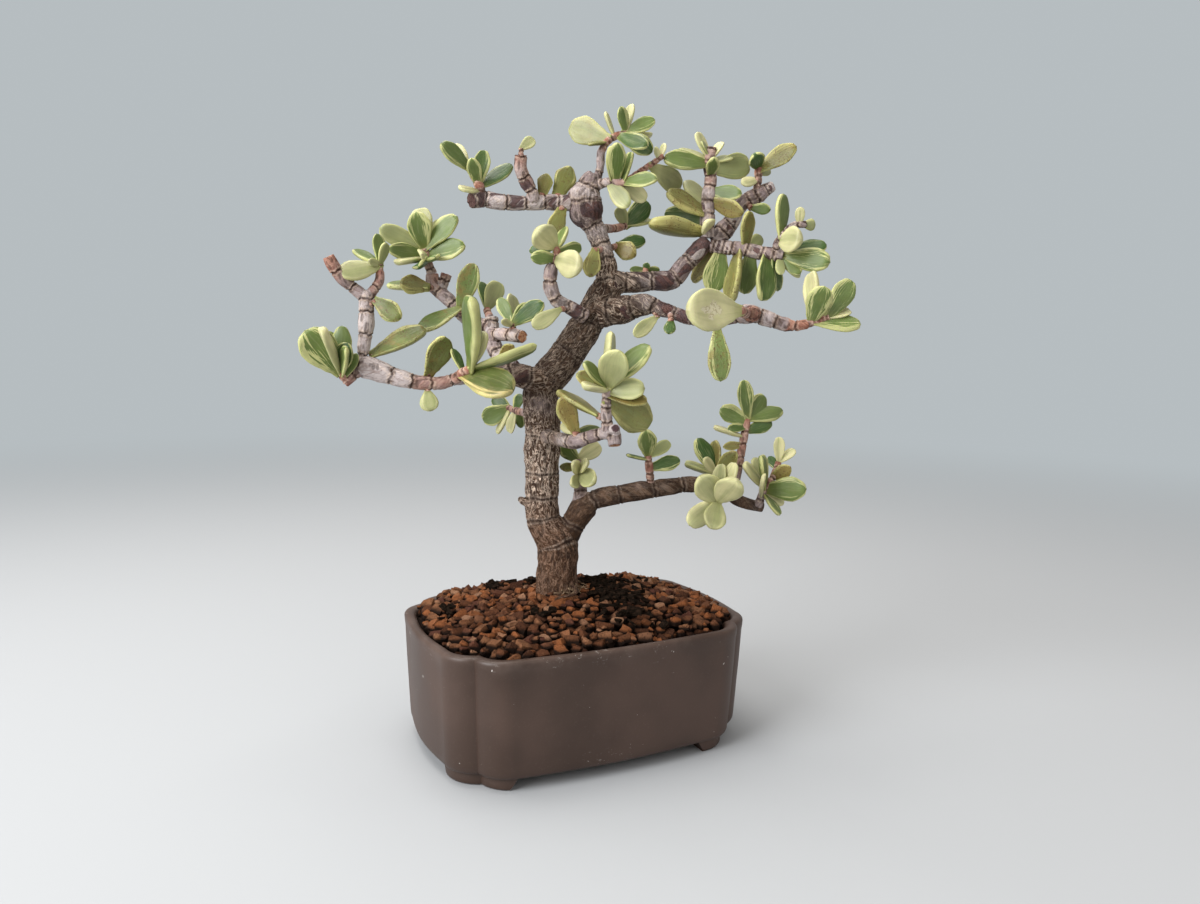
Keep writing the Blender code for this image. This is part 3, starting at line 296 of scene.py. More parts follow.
         [(1, 70, 26, 145, 9, "D"), (1, 81, 28, 144, 6, "O"), (1, 72, 12, 137, 6, 30, "C"),
          (1, 89, 10, 141, 6, 30, "O"), (1, 63, 14, 133, 5, 20, "P")])],
    "low_right_end_leaves": [
        ([(101, 13, 113, 2.3), (104, 11, 122, 2), (108, 12, 128, 1.8), (111, 15, 135, 1.5)],
         [(1, 91, 6, 135, 5, "C"), (1.2, 98, 16, 137, 6, "P"), (1, 100, 3, 140, 6, "V"),
          (0.5, 99, -3, 131, 4, "C"), (3, 111, 17, 148, 6, "C"), (3, 120, 18, 141, 4, "C"),
          (2.6, 107, 20, 137, 5, "D"), (2, 116, 8, 134, 8, "O"), (1, 123, 1, 124, 13, "G"),
          (0.8, 110, 5, 109, 5, "V"), (0.9, 114, 12, 114, 5, "C")])],
    "low_round_leaves": [
        ([(80, 11, 122, 2.2), (79, 0, 120, 2.2), (78, -6, 118, 1.9)],
         [(2, 68, -13, 132, 14, "P"), (2, 85, -22, 133, 14, "C"), (1.6, 64, -5, 106, 11, "P"),
          (2, 74, -15, 106, 12, "P"), (2, 87, -6, 137, 5, "C"), (2, 81, -2, 136, 6, "P")])],
}

# Each stem's bark: how old it is at its root and at its tip (1 is the brown wrinkled trunk, 0.5 grey
# branch and 0 pink young twig), the millimetres between ring scars, their depth, the depth of the
# wrinkles, and how much has peeled to dark purple.
BARK = {
    "trunk": (1.1, 0.9, 15, 0.3, 0.34, 0.12),
    "crown_leader": (0.95, 0.6, 11, 0.4, 0.36, 0.6),
    "crown_left_twig": (0.5, 0.42, 7.5, 0.5, 0.12, 1.0),
    "upper_right_limb": (0.86, 0.62, 12, 0.4, 0.2, 1.9),
    "knobby_twig": (0.6, 0.4, 7, 0.6, 0.25, 1.0),
    "lower_right_limb": (1.0, 0.44, 9, 0.5, 0.26, 0.95),
    "short_twig": (0.6, 0.35, 6.5, 0.45, 0.2, 0.6),
    "front_twig": (0.8, 0.6, 9, 0.4, 0.16, 0.3),
    "left_branch": (1.0, 0.43, 11, 0.45, 0.14, 0.35),
    "left_riser": (0.45, 0.35, 9.5, 0.5, 0.08, 0.3),
    "left_upper_branch": (0.62, 0.45, 8.5, 0.5, 0.16, 0.5),
    "low_right_branch": (0.96, 0.84, 12, 0.5, 0.06, 0.15),
}
# The same for the young stems of some shoots, and for those of all the others.
SHOOT_BARK = {
    "upper_right_shoot": (0.6, 0.2, 7, 0.35, 0.06, 0.8),
    "right_outer_shoot": (0.6, 0.36, 6, 0.35, 0.08, 1.3),
    "low_right_twig": (0.4, 0.12, 7, 0.3, 0.05, 0.5),
    "low_right_end_leaves": (0.5, 0.15, 6, 0.3, 0.05, 0.4),
    "crown_right_leaves": (0.4, 0.05, 5, 0.25, 0.05, 0.3),
    "crown_top_leaves": (0.35, 0.0, 5, 0.25, 0.05, 0.2),
    "knobby_leaves": (0.4, 0.1, 5, 0.3, 0.05, 0.4),
    "back_left_leaves": (0.4, 0.15, 6, 0.25, 0.05, 0.3),
    "mid_back_leaves": (0.45, 0.2, 6, 0.25, 0.05, 0.3),
    "low_stub_leaves": (0.6, 0.3, 6, 0.3, 0.08, 0.2),
    "front_rosette": (0.45, 0.3, 5, 0.3, 0.06, 0.3),
}
YOUNG_BARK = (0.3, 0.1, 5, 0.25, 0.04, 0.3)

# The runs of wood whose ends are healed cuts, and how pale each cut is.
CUT_ENDS = {"left_riser": {1: 1.0}, "left_upper_branch": {1: 1.0}, "front_twig": {0: 0.9, 2: 0.4},
            "crown_left_twig": {0: 0.5, 1: 0.6}, "knobby_twig": {0: 0.55}, "lower_right_limb": {1: 0.6}}

# Where the ring scars of a stem's first run lie, in millimetres along it, where they are known.
RINGS = {
    "trunk": [45, 59.5, 70, 82, 100.5, 125, 146, 163],
    "left_branch": [10, 20, 31, 39, 47, 56, 65, 74.5, 90.5],
    "left_riser": [2.5, 12, 22, 28],
    "low_right_branch": [10, 26, 38.5, 56, 71, 85, 97],
    "front_twig": [6, 17.5, 29.5, 36, 44],
}

# Stems whose last millimetres are young, how many they are, and how much younger their bark is.
YOUNG_ENDS = {"lower_right_limb": 13}
YOUNG_END_FADE = 0.34

# Segments between ring scars that are smooth and pale, and ones with younger, redder bark.
PALE_SEGMENTS = {"left_branch": (7, 8)}
RED_SEGMENTS = {"left_branch": (5, 6)}
RED_SEGMENT_FADE = 0.26

# How far a stem's bark is darkened, and how far the trunk's is from a height upwards.
DIM_BARK = {"low_right_branch": 0.85, "lower_right_limb": 0.5}
TRUNK_DIM = 0.7
TRUNK_DIM_FROM = 164

# The height of the trunk's band of smoother, greyer bark, its reach, and how far its age differs.
SMOOTH_BAND = 163
SMOOTH_BAND_REACH = 10
SMOOTH_BAND_FADE = 0.13

# How high the ring scars start, the distance that stands for no ring, and how far rings wander.
RINGS_FROM = 92
NO_RING = 9
RING_WAVE = 0.9

# The share of the segments that have peeled, on bark that peels, and the depth of full wrinkles.
PEELED = 0.45
FULL_FISSURE = 0.26

# How much of the first run's radius swallows a side run, and how many of its own radii a side run's
# bark reaches.
SWALLOWED = 0.85
SIDE_RUN_REACH = 1.45

# Leaf kinds: depth of the green, or above 1.05 a leaf's brownish underside, painted dark as shade; width
# of the pale margin, or above 1.05 a leaf that is pale all over with a dried middle; speckles;
# yellowness;
# how pointed; and how far stripes break the margin up.
LEAF_KINDS = {
    "V": (0.66, 0.30, 0.1, 0.3, 0.35, 0.8),
    "S": (0.6, 0.26, 0.15, 0.25, 0.2, 1.6),
    "C": (0.02, 0.9, 0.05, 0.3, 0.1, 0.3),
    "G": (0.6, 0.12, 0.1, 0.25, 0.4, 0.5),
    "D": (0.93, 0.07, 0.1, 0.2, 0.4, 0.6),
    "O": (0.42, 0.16, 0.9, 0.95, 0.5, 0.5),
    "P": (0.2, 0.13, 0.08, 0.3, 0.15, 0.4),
    # U: a leaf seen from below, painted dark as shade.
    "U": (1.2, 0.1, 0.3, 0.62, 0.15, 0.0),
    "M": (0.64, 0.1, 0.95, 0.6, 0.4, 0.4),
    "B": (0.85, 0.02, 0.7, 0.9, 0.8, 0.4),
    "H": (0.58, 0.12, 0.9, 0.2, 0.3, 0.8),
    "R": (0.02, 1.3, 0.05, 0.3, 0.1, 0.3),
    "K": (0.3, 0.08, 0.3, 0.7, 0.5, 0.2),
}


# Tools for modelling


def deselect():
    """Nothing selected and nothing active."""
    for made in list(bpy.context.selected_objects):
        made.select_set(False)
    bpy.context.view_layer.objects.active = None


def select(*pieces):
    """Only these pieces selected, the first one active."""
    deselect()
    for made in pieces:
        made.select_set(True)
    bpy.context.view_layer.objects.active = pieces[0]


@contextmanager
def editing():
    """Edit mode for what follows."""
    bpy.ops.object.mode_set(mode="EDIT")
    yield
    bpy.ops.object.mode_set(mode="OBJECT")


def settle(made):
    """Moves a piece's place into its mesh."""
    select(made)
    bpy.ops.object.transform_apply(location=True, rotation=True, scale=True)
    return made


def join(pieces, name):
    """Several pieces as one, with a name."""
    select(*pieces)
    if len(pieces) > 1:
        bpy.ops.object.join()
    made = bpy.context.view_layer.objects.active
    made.name = name
    made.data.name = name
    return made


def copy_piece(master):
    """A copy with its own mesh."""
    made = master.copy()
    made.data = master.data.copy()
    bpy.context.scene.collection.objects.link(made)
    return made


def discard(*pieces):
    """Removes pieces that were only tools or masters."""
    for made in pieces:
        bpy.data.objects.remove(made)


def apply_modifier(made, kind, **settings):
    """Adds a modifier and applies it."""
    modifier = made.modifiers.new(kind.lower(), kind)
    for key, value in settings.items():
        setattr(modifier, key, value)
    select(made)
    bpy.ops.object.modifier_apply(modifier=modifier.name)


def smooth(made, angle=None):
    """Smooth shading, with edges above an angle kept sharp."""
    select(made)
    if angle is None:
        bpy.ops.object.shade_smooth()
    else:
        bpy.ops.object.shade_smooth_by_angle(angle=math.radians(angle))
    return made


def wear(made, material):
    """Gives a piece one material."""
    made.data.materials.clear()
    made.data.materials.append(material)
    return made


def finish_piece(made, slot, *nodes):
    """Gives a piece its body and hides the solids that it stands for; its finish, the slot, is not used.
    """
    deselect()
    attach(made, "root")
    if nodes:
        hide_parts(*nodes)


def ease(value):
    """A soft step from 0 to 1."""
    value = min(max(value, 0.0), 1.0)
    return value * value * (3 - 2 * value)


def hill(distance, width):
    """A soft hill, 1 in its middle and under a half beyond its width."""
    return math.exp(-(distance / width) ** 2)


def read_table(table, place_along):
    """A value from a table of (place, value) pairs, eased between them."""
    for (start, low), (end, high) in zip(table, table[1:]):
        if place_along <= end:
            return low + (high - low) * ease((place_along - start) / (end - start))
    return table[-1][1]


def stretch(vector, scale, rise=0.0):
    """A vector scaled along its axes and raised."""
    return Vector((vector.x * scale[0], vector.y * scale[1], vector.z * scale[2] + rise))


def set_vectors(mesh, name, values):
    """A vector for each vertex, for the materials to read."""
    attribute = mesh.attributes.new(name, "FLOAT_VECTOR", "POINT")
    attribute.data.foreach_set("vector", [number for value in values for number in value])


# Tools for materials


class Look:
    """A Principled material and the nodes that feed it. A number is a value or a socket."""

    def __init__(self, name, roughness, specular):
        self.material = bpy.data.materials.new(name)
        self.material.use_nodes = True
        self.tree = self.material.node_tree
        self.shader = self.tree.nodes["Principled BSDF"]
        self.shader.inputs["Roughness"].default_value = roughness
        self.shader.inputs["Specular IOR Level"].default_value = specular
        self.place = self.node("ShaderNodeTexCoord").outputs["Object"]

    def feed(self, socket, value):
        """Joins a socket to another, or gives it a value or a colour."""
        if isinstance(value, bpy.types.NodeSocket):
            self.tree.links.new(value, socket)
        else:
            socket.default_value = (*value, 1) if socket.type == "RGBA" else value

    def node(self, kind, *sources, **settings):
        """A node with its settings, the values of its named sockets and what its first ones take."""
        made = self.tree.nodes.new(kind)
        for key, value in settings.items():
            if key in made.inputs:
                made.inputs[key].default_value = value
            else:
                setattr(made, key, value)
        for socket, source in zip(made.inputs, sources):
            self.feed(socket, source)
        return made

    def vector(self, name):
        """A vector attribute of the mesh."""
        return self.node("ShaderNodeAttribute", attribute_name=name).outputs["Vector"]

    def parts(self, vector):
        """The three numbers of a vector, or of the attribute with that name."""
        vector = self.vector(vector) if isinstance(vector, str) else vector
        return list(self.node("ShaderNodeSeparateXYZ", vector).outputs)

    def stretched(self, source, scale):
        """A vector scaled along its axes."""
        return self.node("ShaderNodeMapping", source, Scale=scale).outputs[0]

    def noise(self, source, scale, detail, roughness, distortion=0.0):
        """Soft noise from 0 to 1."""
        return self.node("ShaderNodeTexNoise", source, Scale=scale, Detail=detail,
                         Roughness=roughness, Distortion=distortion).outputs["Fac"]

    def span(self, source, low, high, to_low=0.0, to_high=1.0):
        """A number moved softly from one range to another and kept inside it."""
        return self.node("ShaderNodeMapRange", source, low, high, to_low, to_high,
                         interpolation_type="SMOOTHSTEP").outputs[0]

    def figure(self, operation, *numbers):
        """One operation on numbers, from the first to the last."""
        total = numbers[0]
        for number in numbers[1:]:
            total = self.node("ShaderNodeMath", total, number, operation=operation).outputs[0]
        return total

    def times(self, *numbers):
        """The product of numbers."""
        return self.figure("MULTIPLY", *numbers)

    def plus(self, *numbers):
        """The sum of numbers."""
        return self.figure("ADD", *numbers)

    def apart(self, first, second):
        """How far two numbers lie from each other."""
        return self.figure("ABSOLUTE", self.figure("SUBTRACT", first, second), 0)

    def mix(self, share, first, second, blend="MIX"):
        """Two colours mixed by a share."""
        made = self.node("ShaderNodeMix", share, data_type="RGBA", blend_type=blend)
        self.feed(made.inputs[6], first)
        self.feed(made.inputs[7], second)
        return made.outputs[2]

    def tint(self, colour, tint, share):
        """A colour multiplied by a tint, by a share."""
        return self.mix(share, colour, self.mix(1.0, colour, tint, "MULTIPLY"))

    def coats(self, colour, *coats):
        """A colour with coats over it. A coat is its colour, the number that it follows and, where that
        isn't its share already, where it starts, where it is full, and its least and most share."""
        for coat, share, *reach in coats:
            colour = self.mix(self.span(share, *reach) if reach else share, colour, coat)
        return colour

    def bump(self, height, strength, distance):
        """Fine relief of a height."""
        made = self.node("ShaderNodeBump", Strength=strength, Distance=distance)
        self.feed(made.inputs["Height"], height)
        self.feed(self.shader.inputs["Normal"], made.outputs[0])

    def paint(self, colour, roughness=None):
        """Gives the shader its colour and, where it varies, its roughness."""
        self.feed(self.shader.inputs["Base Color"], colour)
        if roughness is not None:
            self.feed(self.shader.inputs["Roughness"], roughness)
        return self.material


# Materials


CLAY_DARK = (0.042, 0.0225, 0.0148)
CLAY_LIGHT = (0.066, 0.0375, 0.027)
CLAY_DUST = (0.14, 0.10, 0.082)
MINERAL = (0.55, 0.51, 0.47)
# Where the lime marks are, in millimetres from the pot's middle, and how far each reaches.
MARKS = [(-25, -58, 58, 5), (-13, -59, 58, 6), (-1, -60, 57, 4), (16, -60, 54, 5), (-34, -58, 58, 4),
         (-62, -56, 57, 5), (-78, 32, 56, 6), (-79, 12, 57, 5), (-17, -57, 9, 6), (-8, -57, 9, 7),
         (1, -57, 9, 5), (-66, -54, 8, 5)]
MARK_HEART = 0.35
# How far below its top the rim's bloom starts and is full, and the heights between which the foot's
# starts.
RIM_BLOOM = (9 * MM, 1 * MM)
FOOT_BLOOM = (11 * MM, 6.5 * MM)


def clay_look():
    """Unglazed purple-brown clay with a fine tooth, water marks and mineral specks."""
    look = Look("pot_clay", 0.5, 0.42)
    height = look.parts(look.place)[2]
    cloud = look.noise(look.place, 22, 3, 0.5)
    tooth = look.noise(look.place, 900, 4, 0.7)
    rim = look.span(height, *(POT_HIGH.z - drop for drop in RIM_BLOOM))
    edges = look.figure("MAXIMUM", rim, look.span(height, *FOOT_BLOOM))
    patches = look.span(look.noise(look.place, 45, 3, 0.6), 0.56, 0.68)
    specks = look.span(look.noise(look.stretched(look.place, (1, 1, 0.7)), 700, 3, 0.6), 0.63, 0.72)
    scuffs = look.noise(look.stretched(look.place, (0.6, 0.6, 1)), 620, 4, 0.75, 0.6)
    near = []
    for *middle, reach in MARKS:
        away = look.node("ShaderNodeVectorMath", look.place, POT_MIDDLE + Vector(middle) * MM,
                         operation="DISTANCE").outputs["Value"]
        near.append(look.span(away, reach * MM, MARK_HEART * reach * MM))
    marks = look.times(look.figure("MAXIMUM", *near), look.span(scuffs, 0.59, 0.7, 0, 0.7))
    crust = look.figure("MAXIMUM", look.times(edges, patches, specks), marks)
    strays = look.span(look.noise(look.place, 420, 2, 0.5), 0.76, 0.79)
    bloom = look.times(rim, look.span(look.noise(look.place, 60, 4, 0.6), 0.4, 0.75, 0, 0.35))
    colour = look.coats(
        CLAY_DARK,
        (CLAY_LIGHT, cloud, 0.35, 0.68),
        (CLAY_DUST, tooth, 0.55, 0.75, 0, 0.18),
        (MINERAL, look.figure("MAXIMUM", crust, strays)),
        (CLAY_DUST, bloom))
    look.bump(look.plus(tooth, look.times(crust, 2.0)), 0.25, 0.0002)
    return look.paint(colour, look.span(cloud, 0.3, 0.7, 0.42, 0.54))


BARK_DARK = (0.070, 0.037, 0.022)
BARK_BROWN = (0.215, 0.122, 0.074)
BARK_OLIVE = (0.088, 0.052, 0.023)
BARK_PALE = (0.40, 0.265, 0.185)
BARK_WARM = (0.84, 0.68, 0.60)
BARK_DIM = (0.58, 0.57, 0.55)
# The pale of crests, streaks and ring lips; on the old bark's crests it is partly painted highlight.
BARK_CREST = (0.80, 0.63, 0.50)
# The crevices' own dark, also used as painted shade in them.
BARK_CREVICE_AND_SHADE = (0.030, 0.016, 0.011)
BARK_LILAC = (0.50, 0.43, 0.415)
BARK_LILAC_DARK = (0.28, 0.215, 0.21)
BARK_SCAB = (0.17, 0.105, 0.078)
BARK_PURPLE = (0.065, 0.036, 0.038)
BARK_RED = (0.13, 0.055, 0.045)
BARK_RING = (0.030, 0.016, 0.012)
TWIG_RED = (0.25, 0.10, 0.065)
TWIG_PINK = (0.44, 0.24, 0.175)
CUT_RED = (0.36, 0.12, 0.06)
CUT_PALE = (0.66, 0.38, 0.22)
# The heights between which the trunk's low, warm bark ends, and its high, dark bark begins.
LOW_BARK = (128 * MM, 92 * MM)
HIGH_BARK = (168 * MM, 186 * MM)


def bark_look():
    """Jade bark: brown and wrinkled when old, grey-lilac and ringed higher up, pink on young twigs."""
    look = Look("jade_bark", 0.8, 0.2)
    age, relief, patch = look.parts("bark")
    ring, cut, lip = look.parts("scar")
    tone, peeled, scurf = look.parts("segment")
    rough, dim, _ = look.parts("nature")
    grain = look.vector("grain")
    height = look.parts(look.place)[2]
    low = look.span(height, *LOW_BARK)
    wrinkles = look.apart(look.noise(look.stretched(grain, (1, 1, 0.42)), 0.5, 3, 0.62, 1.0), 0.5)
    scales = look.apart(look.noise(grain, 1.1, 2, 0.6, 0.8), 0.5)
    mottle = look.noise(grain, 0.26, 5, 0.7)
    blotch = look.noise(look.stretched(grain, (1, 1, 0.6)), 0.3, 4, 0.66)
    cloud = look.noise(look.stretched(grain, (1, 1, 0.7)), 0.17, 3, 0.6)
    streaks = look.noise(look.stretched(grain, (1, 1, 0.12)), 1.3, 4, 0.6)
    flakes = look.noise(grain, 0.8, 4, 0.72)
    crest = look.times(look.span(wrinkles, 0.055, 0.018), rough)
    fine_crest = look.times(look.span(scales, 0.05, 0.012), look.span(rough, 0, 1, 0.3, 1))
    valley = look.times(look.span(wrinkles, 0.05, 0.1), look.span(rough, 0, 1, 0.35, 1))
    shade = look.times(look.span(cloud, 0.54, 0.46, 0, 0.75), look.span(low, 0, 1, 1, 0.2))
    crest_highlight_share = look.times(look.span(low, 0, 1, 0.95, 0.32), look.span(dim, 0, 1, 1, 0.5))

    old = look.coats(
        BARK_DARK,
        (BARK_BROWN, mottle, 0.42, 0.6),
        (BARK_OLIVE, look.times(low, 0.75)),
        (BARK_DARK, height, *HIGH_BARK, 0, 0.5),
        # Darker in the valleys between crests: partly the crevices' dark, partly painted shade.
        (BARK_CREVICE_AND_SHADE, look.times(valley, look.span(low, 0, 1, 0.9, 0.6))),
        (BARK_PALE, look.times(look.span(blotch, 0.52, 0.64, 0, 0.6), look.span(low, 0, 1, 1, 0.4))),
        # Pale tops of the fine scales: partly the bark's own pale, partly painted highlight.
        (BARK_PALE, look.times(fine_crest, 0.5)),
        (BARK_DARK, look.times(shade, look.span(rough, 0, 0.5))),
        # Pale crests: the bark's pale ridges, partly painted highlight on them.
        (BARK_CREST, look.times(crest, crest_highlight_share)))
    old = look.tint(look.tint(old, BARK_WARM, low), BARK_DIM, dim)
    level = look.plus(look.times(tone, 0.6), look.times(mottle, 0.5))
    middle = look.coats(
        BARK_LILAC_DARK,
        (BARK_LILAC, level, 0.34, 0.85),
        (BARK_CREST, streaks, 0.5, 0.66, 0, 0.32),
        (BARK_SCAB, streaks, 0.46, 0.34, 0, 0.45),
        (BARK_SCAB, flakes, 0.57, 0.63, 0, 0.5),
        (BARK_SCAB, look.times(scurf, look.span(flakes, 0.4, 0.56, 0.15, 0.95))))
    young = look.coats(TWIG_RED, (TWIG_PINK, mottle, 0.4, 0.62))
    gloss = look.coats(BARK_PURPLE, (BARK_RED, mottle, 0.42, 0.62))
    wood = look.coats(CUT_RED, (CUT_PALE, look.noise(look.place, 900, 4, 0.7), 0.35, 0.65))
    wound = look.coats(BARK_PURPLE, (wood, cut, 0.4, 1.0))
    bare = look.times(look.span(look.plus(look.times(peeled, 0.34), patch), 0.5, 0.57),
                      look.span(look.plus(flakes, look.times(scurf, -0.3)), 0.3, 0.4))
    pale_lip = look.times(lip, look.span(dim, 0, 0.8, 1, 0.4), look.span(streaks, 0.35, 0.6, 0.1, 0.55))
    broken = look.span(look.noise(grain, 0.4, 2, 0.5), 0.36, 0.6, 0.45, 0.95)
    colour = look.coats(
        young,
        (middle, age, 0.12, 0.36),
        (old, age, 0.62, 0.86),
        (gloss, look.times(bare, 0.92)),
        (BARK_CREST, pale_lip),
        (BARK_RING, look.times(ring, broken)),
        # Darker where the carved relief is deep: partly the crevices' dark, partly painted shade.
        (BARK_CREVICE_AND_SHADE, relief, -0.1, -0.7, 0, 0.6),
        (wound, cut, 0.1, 0.3))
    ridges = look.plus(look.times(crest, 0.7), look.times(fine_crest, 0.4))
    depth = look.times(ridges, look.span(age, 0.5, 0.85, 0.08, 1.0))
    look.bump(look.plus(depth, look.times(flakes, 0.5), look.times(bare, -0.5)), 1.0, 0.0012)
    return look.paint(colour, look.span(bare, 0, 1, 0.82, 0.5))


LEAF_CREAM = (0.57, 0.535, 0.29)
LEAF_LIME = (0.46, 0.46, 0.20)
LEAF_YELLOW = (0.42, 0.375, 0.135)
LEAF_PALE = (0.36, 0.355, 0.175)
LEAF_GREEN = (0.115, 0.16, 0.042)
LEAF_DEEP = (0.038, 0.082, 0.018)
LEAF_OLIVE = (0.165, 0.143, 0.038)
LEAF_BRONZE = (0.31, 0.20, 0.055)
LEAF_SHADED_UNDERSIDE = (1.3, 1.06, 1.05)
LEAF_GREY = (0.22, 0.25, 0.115)
LEAF_FOOT_SHADE = (0.21, 0.215, 0.06)
LEAF_RIM = (0.52, 0.51, 0.21)
LEAF_DRIED = (0.66, 0.60, 0.42)
LEAF_SPECK = (0.10, 0.05, 0.02)
LEAF_STAIN = (0.22, 0.15, 0.045)
LEAF_FLESH = {"Subsurface Weight": 0.12, "Subsurface Radius": (0.004, 0.006, 0.002),
              "Subsurface Scale": 0.4}


def leaf_look():
    """Waxy variegated leaf: pale margins and stripes over green, with specks on the older ones, the
    brownish underside of a leaf that is turned away, painted dark as shade, and the dried middle of a
    very pale one."""
    look = Look("jade_leaf", 0.42, 0.25)
    across, along, _ = look.parts("leaf")
    green, margin, speckle = look.parts("tone")
    yellow, seed, streaky = look.parts("tint")
    flow = look.node("ShaderNodeCombineXYZ", look.times(across, 2.6), look.times(along, 0.8),
                     look.times(seed, 40)).outputs[0]
    stripes = look.noise(flow, 1.3, 3, 0.55)
    thin_stripes = look.noise(flow, 3.6, 3, 0.6)
    wide = look.apart(across, 0)

    distance = look.plus(
        look.apart(across, look.span(seed, 0.0, 1.0, -0.24, 0.24)),
        look.span(along, 0.8, 1.0, 0, 0.3),
        look.span(stripes, 0.3, 0.7, -0.22, 0.22),
        look.times(look.span(thin_stripes, 0.36, 0.64, -0.3, 0.3), streaky))
    past = look.figure("SUBTRACT", distance, look.figure("SUBTRACT", 1.0, margin))
    softness = look.span(green, 0.1, 0.6, 0.5, 0.15)
    cream = look.coats(
        LEAF_CREAM,
        (LEAF_LIME, green, 0.05, 0.4),
        (LEAF_YELLOW, yellow, 0.5, 0.9))
    deep = look.coats(
        LEAF_PALE,
        (LEAF_GREEN, green, 0.1, 0.55),
        (LEAF_DEEP, green, 0.6, 1.0),
        (LEAF_OLIVE, yellow, 0.5, 0.9, 0, 0.9),
        (LEAF_GREY, thin_stripes, 0.5, 0.64, 0, 0.32),
        (LEAF_BRONZE, yellow, 0.9, 1.0, 0, 0.5))
    colour = look.coats(
        deep,
        (cream, look.figure("DIVIDE", past, softness), -1.0, 1.0),
        (LEAF_GREEN, look.noise(flow, 0.7, 2, 0.5), 0.42, 0.68, 0, 0.25),
        # Painted shade: the leaf darker towards its foot.
        (LEAF_FOOT_SHADE, along, 0.3, 0.0, 0, 0.7))
    # Painted shade: a leaf turned away, with green above 1.05, takes the deepest green and is browned
    # here.
    colour = look.tint(colour, LEAF_SHADED_UNDERSIDE, look.span(green, 1.05, 1.2))

    ragged = look.plus(look.times(wide, 0.45), look.apart(along, 0.62),
                       look.span(look.noise(look.place, 260, 3, 0.6), 0.3, 0.7, -0.09, 0.09))
    dried = look.times(look.span(ragged, 0.2, 0.13), look.span(margin, 1.05, 1.15))
    cracks = look.apart(look.noise(look.place, 330, 3, 0.6), 0.5)
    dots = look.span(look.noise(look.place, 1300, 2, 0.5), 0.55, 0.63)
    patches = look.span(look.noise(look.place, 240, 2, 0.5), 0.4, 0.54)
    stains = look.span(look.noise(look.place, 150, 3, 0.6), 0.52, 0.68, 0, 0.6)
    rim = look.times(look.span(wide, 0.88, 0.97), look.span(green, 0.0, 0.3, 0.15, 0.48))
    colour = look.coats(
        colour,
        (LEAF_DRIED, look.times(dried, 0.75)),
        (LEAF_STAIN, look.times(dried, look.span(cracks, 0.04, 0.015, 0, 0.5))),
        (LEAF_RIM, rim),
        (LEAF_SPECK, look.times(dots, patches, speckle, 0.85)),
        (LEAF_STAIN, look.times(stains, speckle)))
    shade = look.span(look.noise(look.place, 90, 2, 0.5), 0.3, 0.7, 0.8, 1.08)
    shaded = look.node("ShaderNodeVectorMath", colour, operation="SCALE")
    look.feed(shaded.inputs["Scale"], shade)
    for name, value in LEAF_FLESH.items():
        look.shader.inputs[name].default_value = value
    look.bump(look.plus(stripes, look.noise(look.place, 1200, 2, 0.5)), 0.15, 0.0004)
    return look.paint(shaded.outputs[0], look.span(stripes, 0.3, 0.7, 0.3, 0.44))


STONE_BROWN = (0.042, 0.016, 0.008)
STONE_RUST = (0.095, 0.035, 0.016)
STONE_TAN = (0.175, 0.077, 0.037)
STONE_ORANGE = (0.215, 0.072, 0.025)
STONE_PLUM = (0.065, 0.022, 0.015)
STONE_PALE = (0.29, 0.155, 0.09)
STONE_DARK = (0.008, 0.004, 0.0025)
STONE_DUST = (0.29, 0.145, 0.075)


def stone_look():
    """Baked clay gravel: each stone has its own colour, with pores and dust, painted shade that darkens
    it towards its bottom, and darker where debris lies and in the lower layer.
    """
    look = Look("gravel", 0.9, 0.1)
    red, grey, value = look.parts("stone")
    rise, debris_and_depth, _ = look.parts("shade_and_debris")
    pores = look.noise(look.place, 1500, 4, 0.7)
    look.bump(pores, 0.9, 0.0007)
    return look.paint(look.coats(
        STONE_BROWN,
        (STONE_RUST, value, 0.0, 0.45),
        (STONE_TAN, value, 0.45, 0.9),
        (STONE_ORANGE, red, 0.55, 0.8, 0, 0.85),
        (STONE_PLUM, red, 0.15, 0.0, 0, 0.8),
        (STONE_PALE, grey, 0.9, 0.97, 0, 0.75),
        (STONE_BROWN, look.noise(look.place, 360, 2, 0.5), 0.48, 0.7, 0, 0.5),
        (STONE_DARK, pores, 0.5, 0.3, 0, 0.8),
        (STONE_DUST, pores, 0.56, 0.72, 0, 0.4),
        # Painted shade: each stone darkened towards its bottom, so that the gaps between the stones read
        # dark.
        (STONE_DARK, rise, 0.95, 0.15, 0, 0.98),
        # Darker where the debris lies, and for the stones of the lower layer.
        (STONE_DARK, look.times(debris_and_depth, 0.8))))


# What lies between the stones: roughness, shine, how flat and how fine its grain is, its two colours,
# and the strength and depth of its relief.
EARTHS = {"bark_chips": (1.0, 0.02, 3, 500, (0.004, 0.003, 0.002), (0.026, 0.015, 0.010), 0.6, 0.0005),
          "soil_fines": (0.95, 0.1, 1, 900, (0.006, 0.0035, 0.0025), (0.04, 0.02, 0.012), 0.8, 0.0006)}
SCREEN_DARK = (0.012, 0.03, 0.018)
SCREEN_GREEN = (0.035, 0.07, 0.045)
FIBRE_DARK = (0.10, 0.065, 0.04)
FIBRE_PALE = (0.36, 0.25, 0.155)


def earth_look(name):
    """Wet dark bark chips, or the dark fines between the stones."""
    roughness, shine, flat, scale, dark, pale, strength, depth = EARTHS[name]
    look = Look(name, roughness, shine)
    grain = look.noise(look.stretched(look.place, (1, 1, flat)), scale, 4, 0.7)
    look.bump(grain, strength, depth)
    return look.paint(look.coats(dark, (pale, grain, 0.4, 0.75)))


def fibre_look():
    """Fine pale roots."""
    look = Look("root_fibres", 0.9, 0.1)
    tone = look.noise(look.place, 500, 3, 0.6)
    return look.paint(look.coats(FIBRE_DARK, (FIBRE_PALE, tone, 0.35, 0.65)))


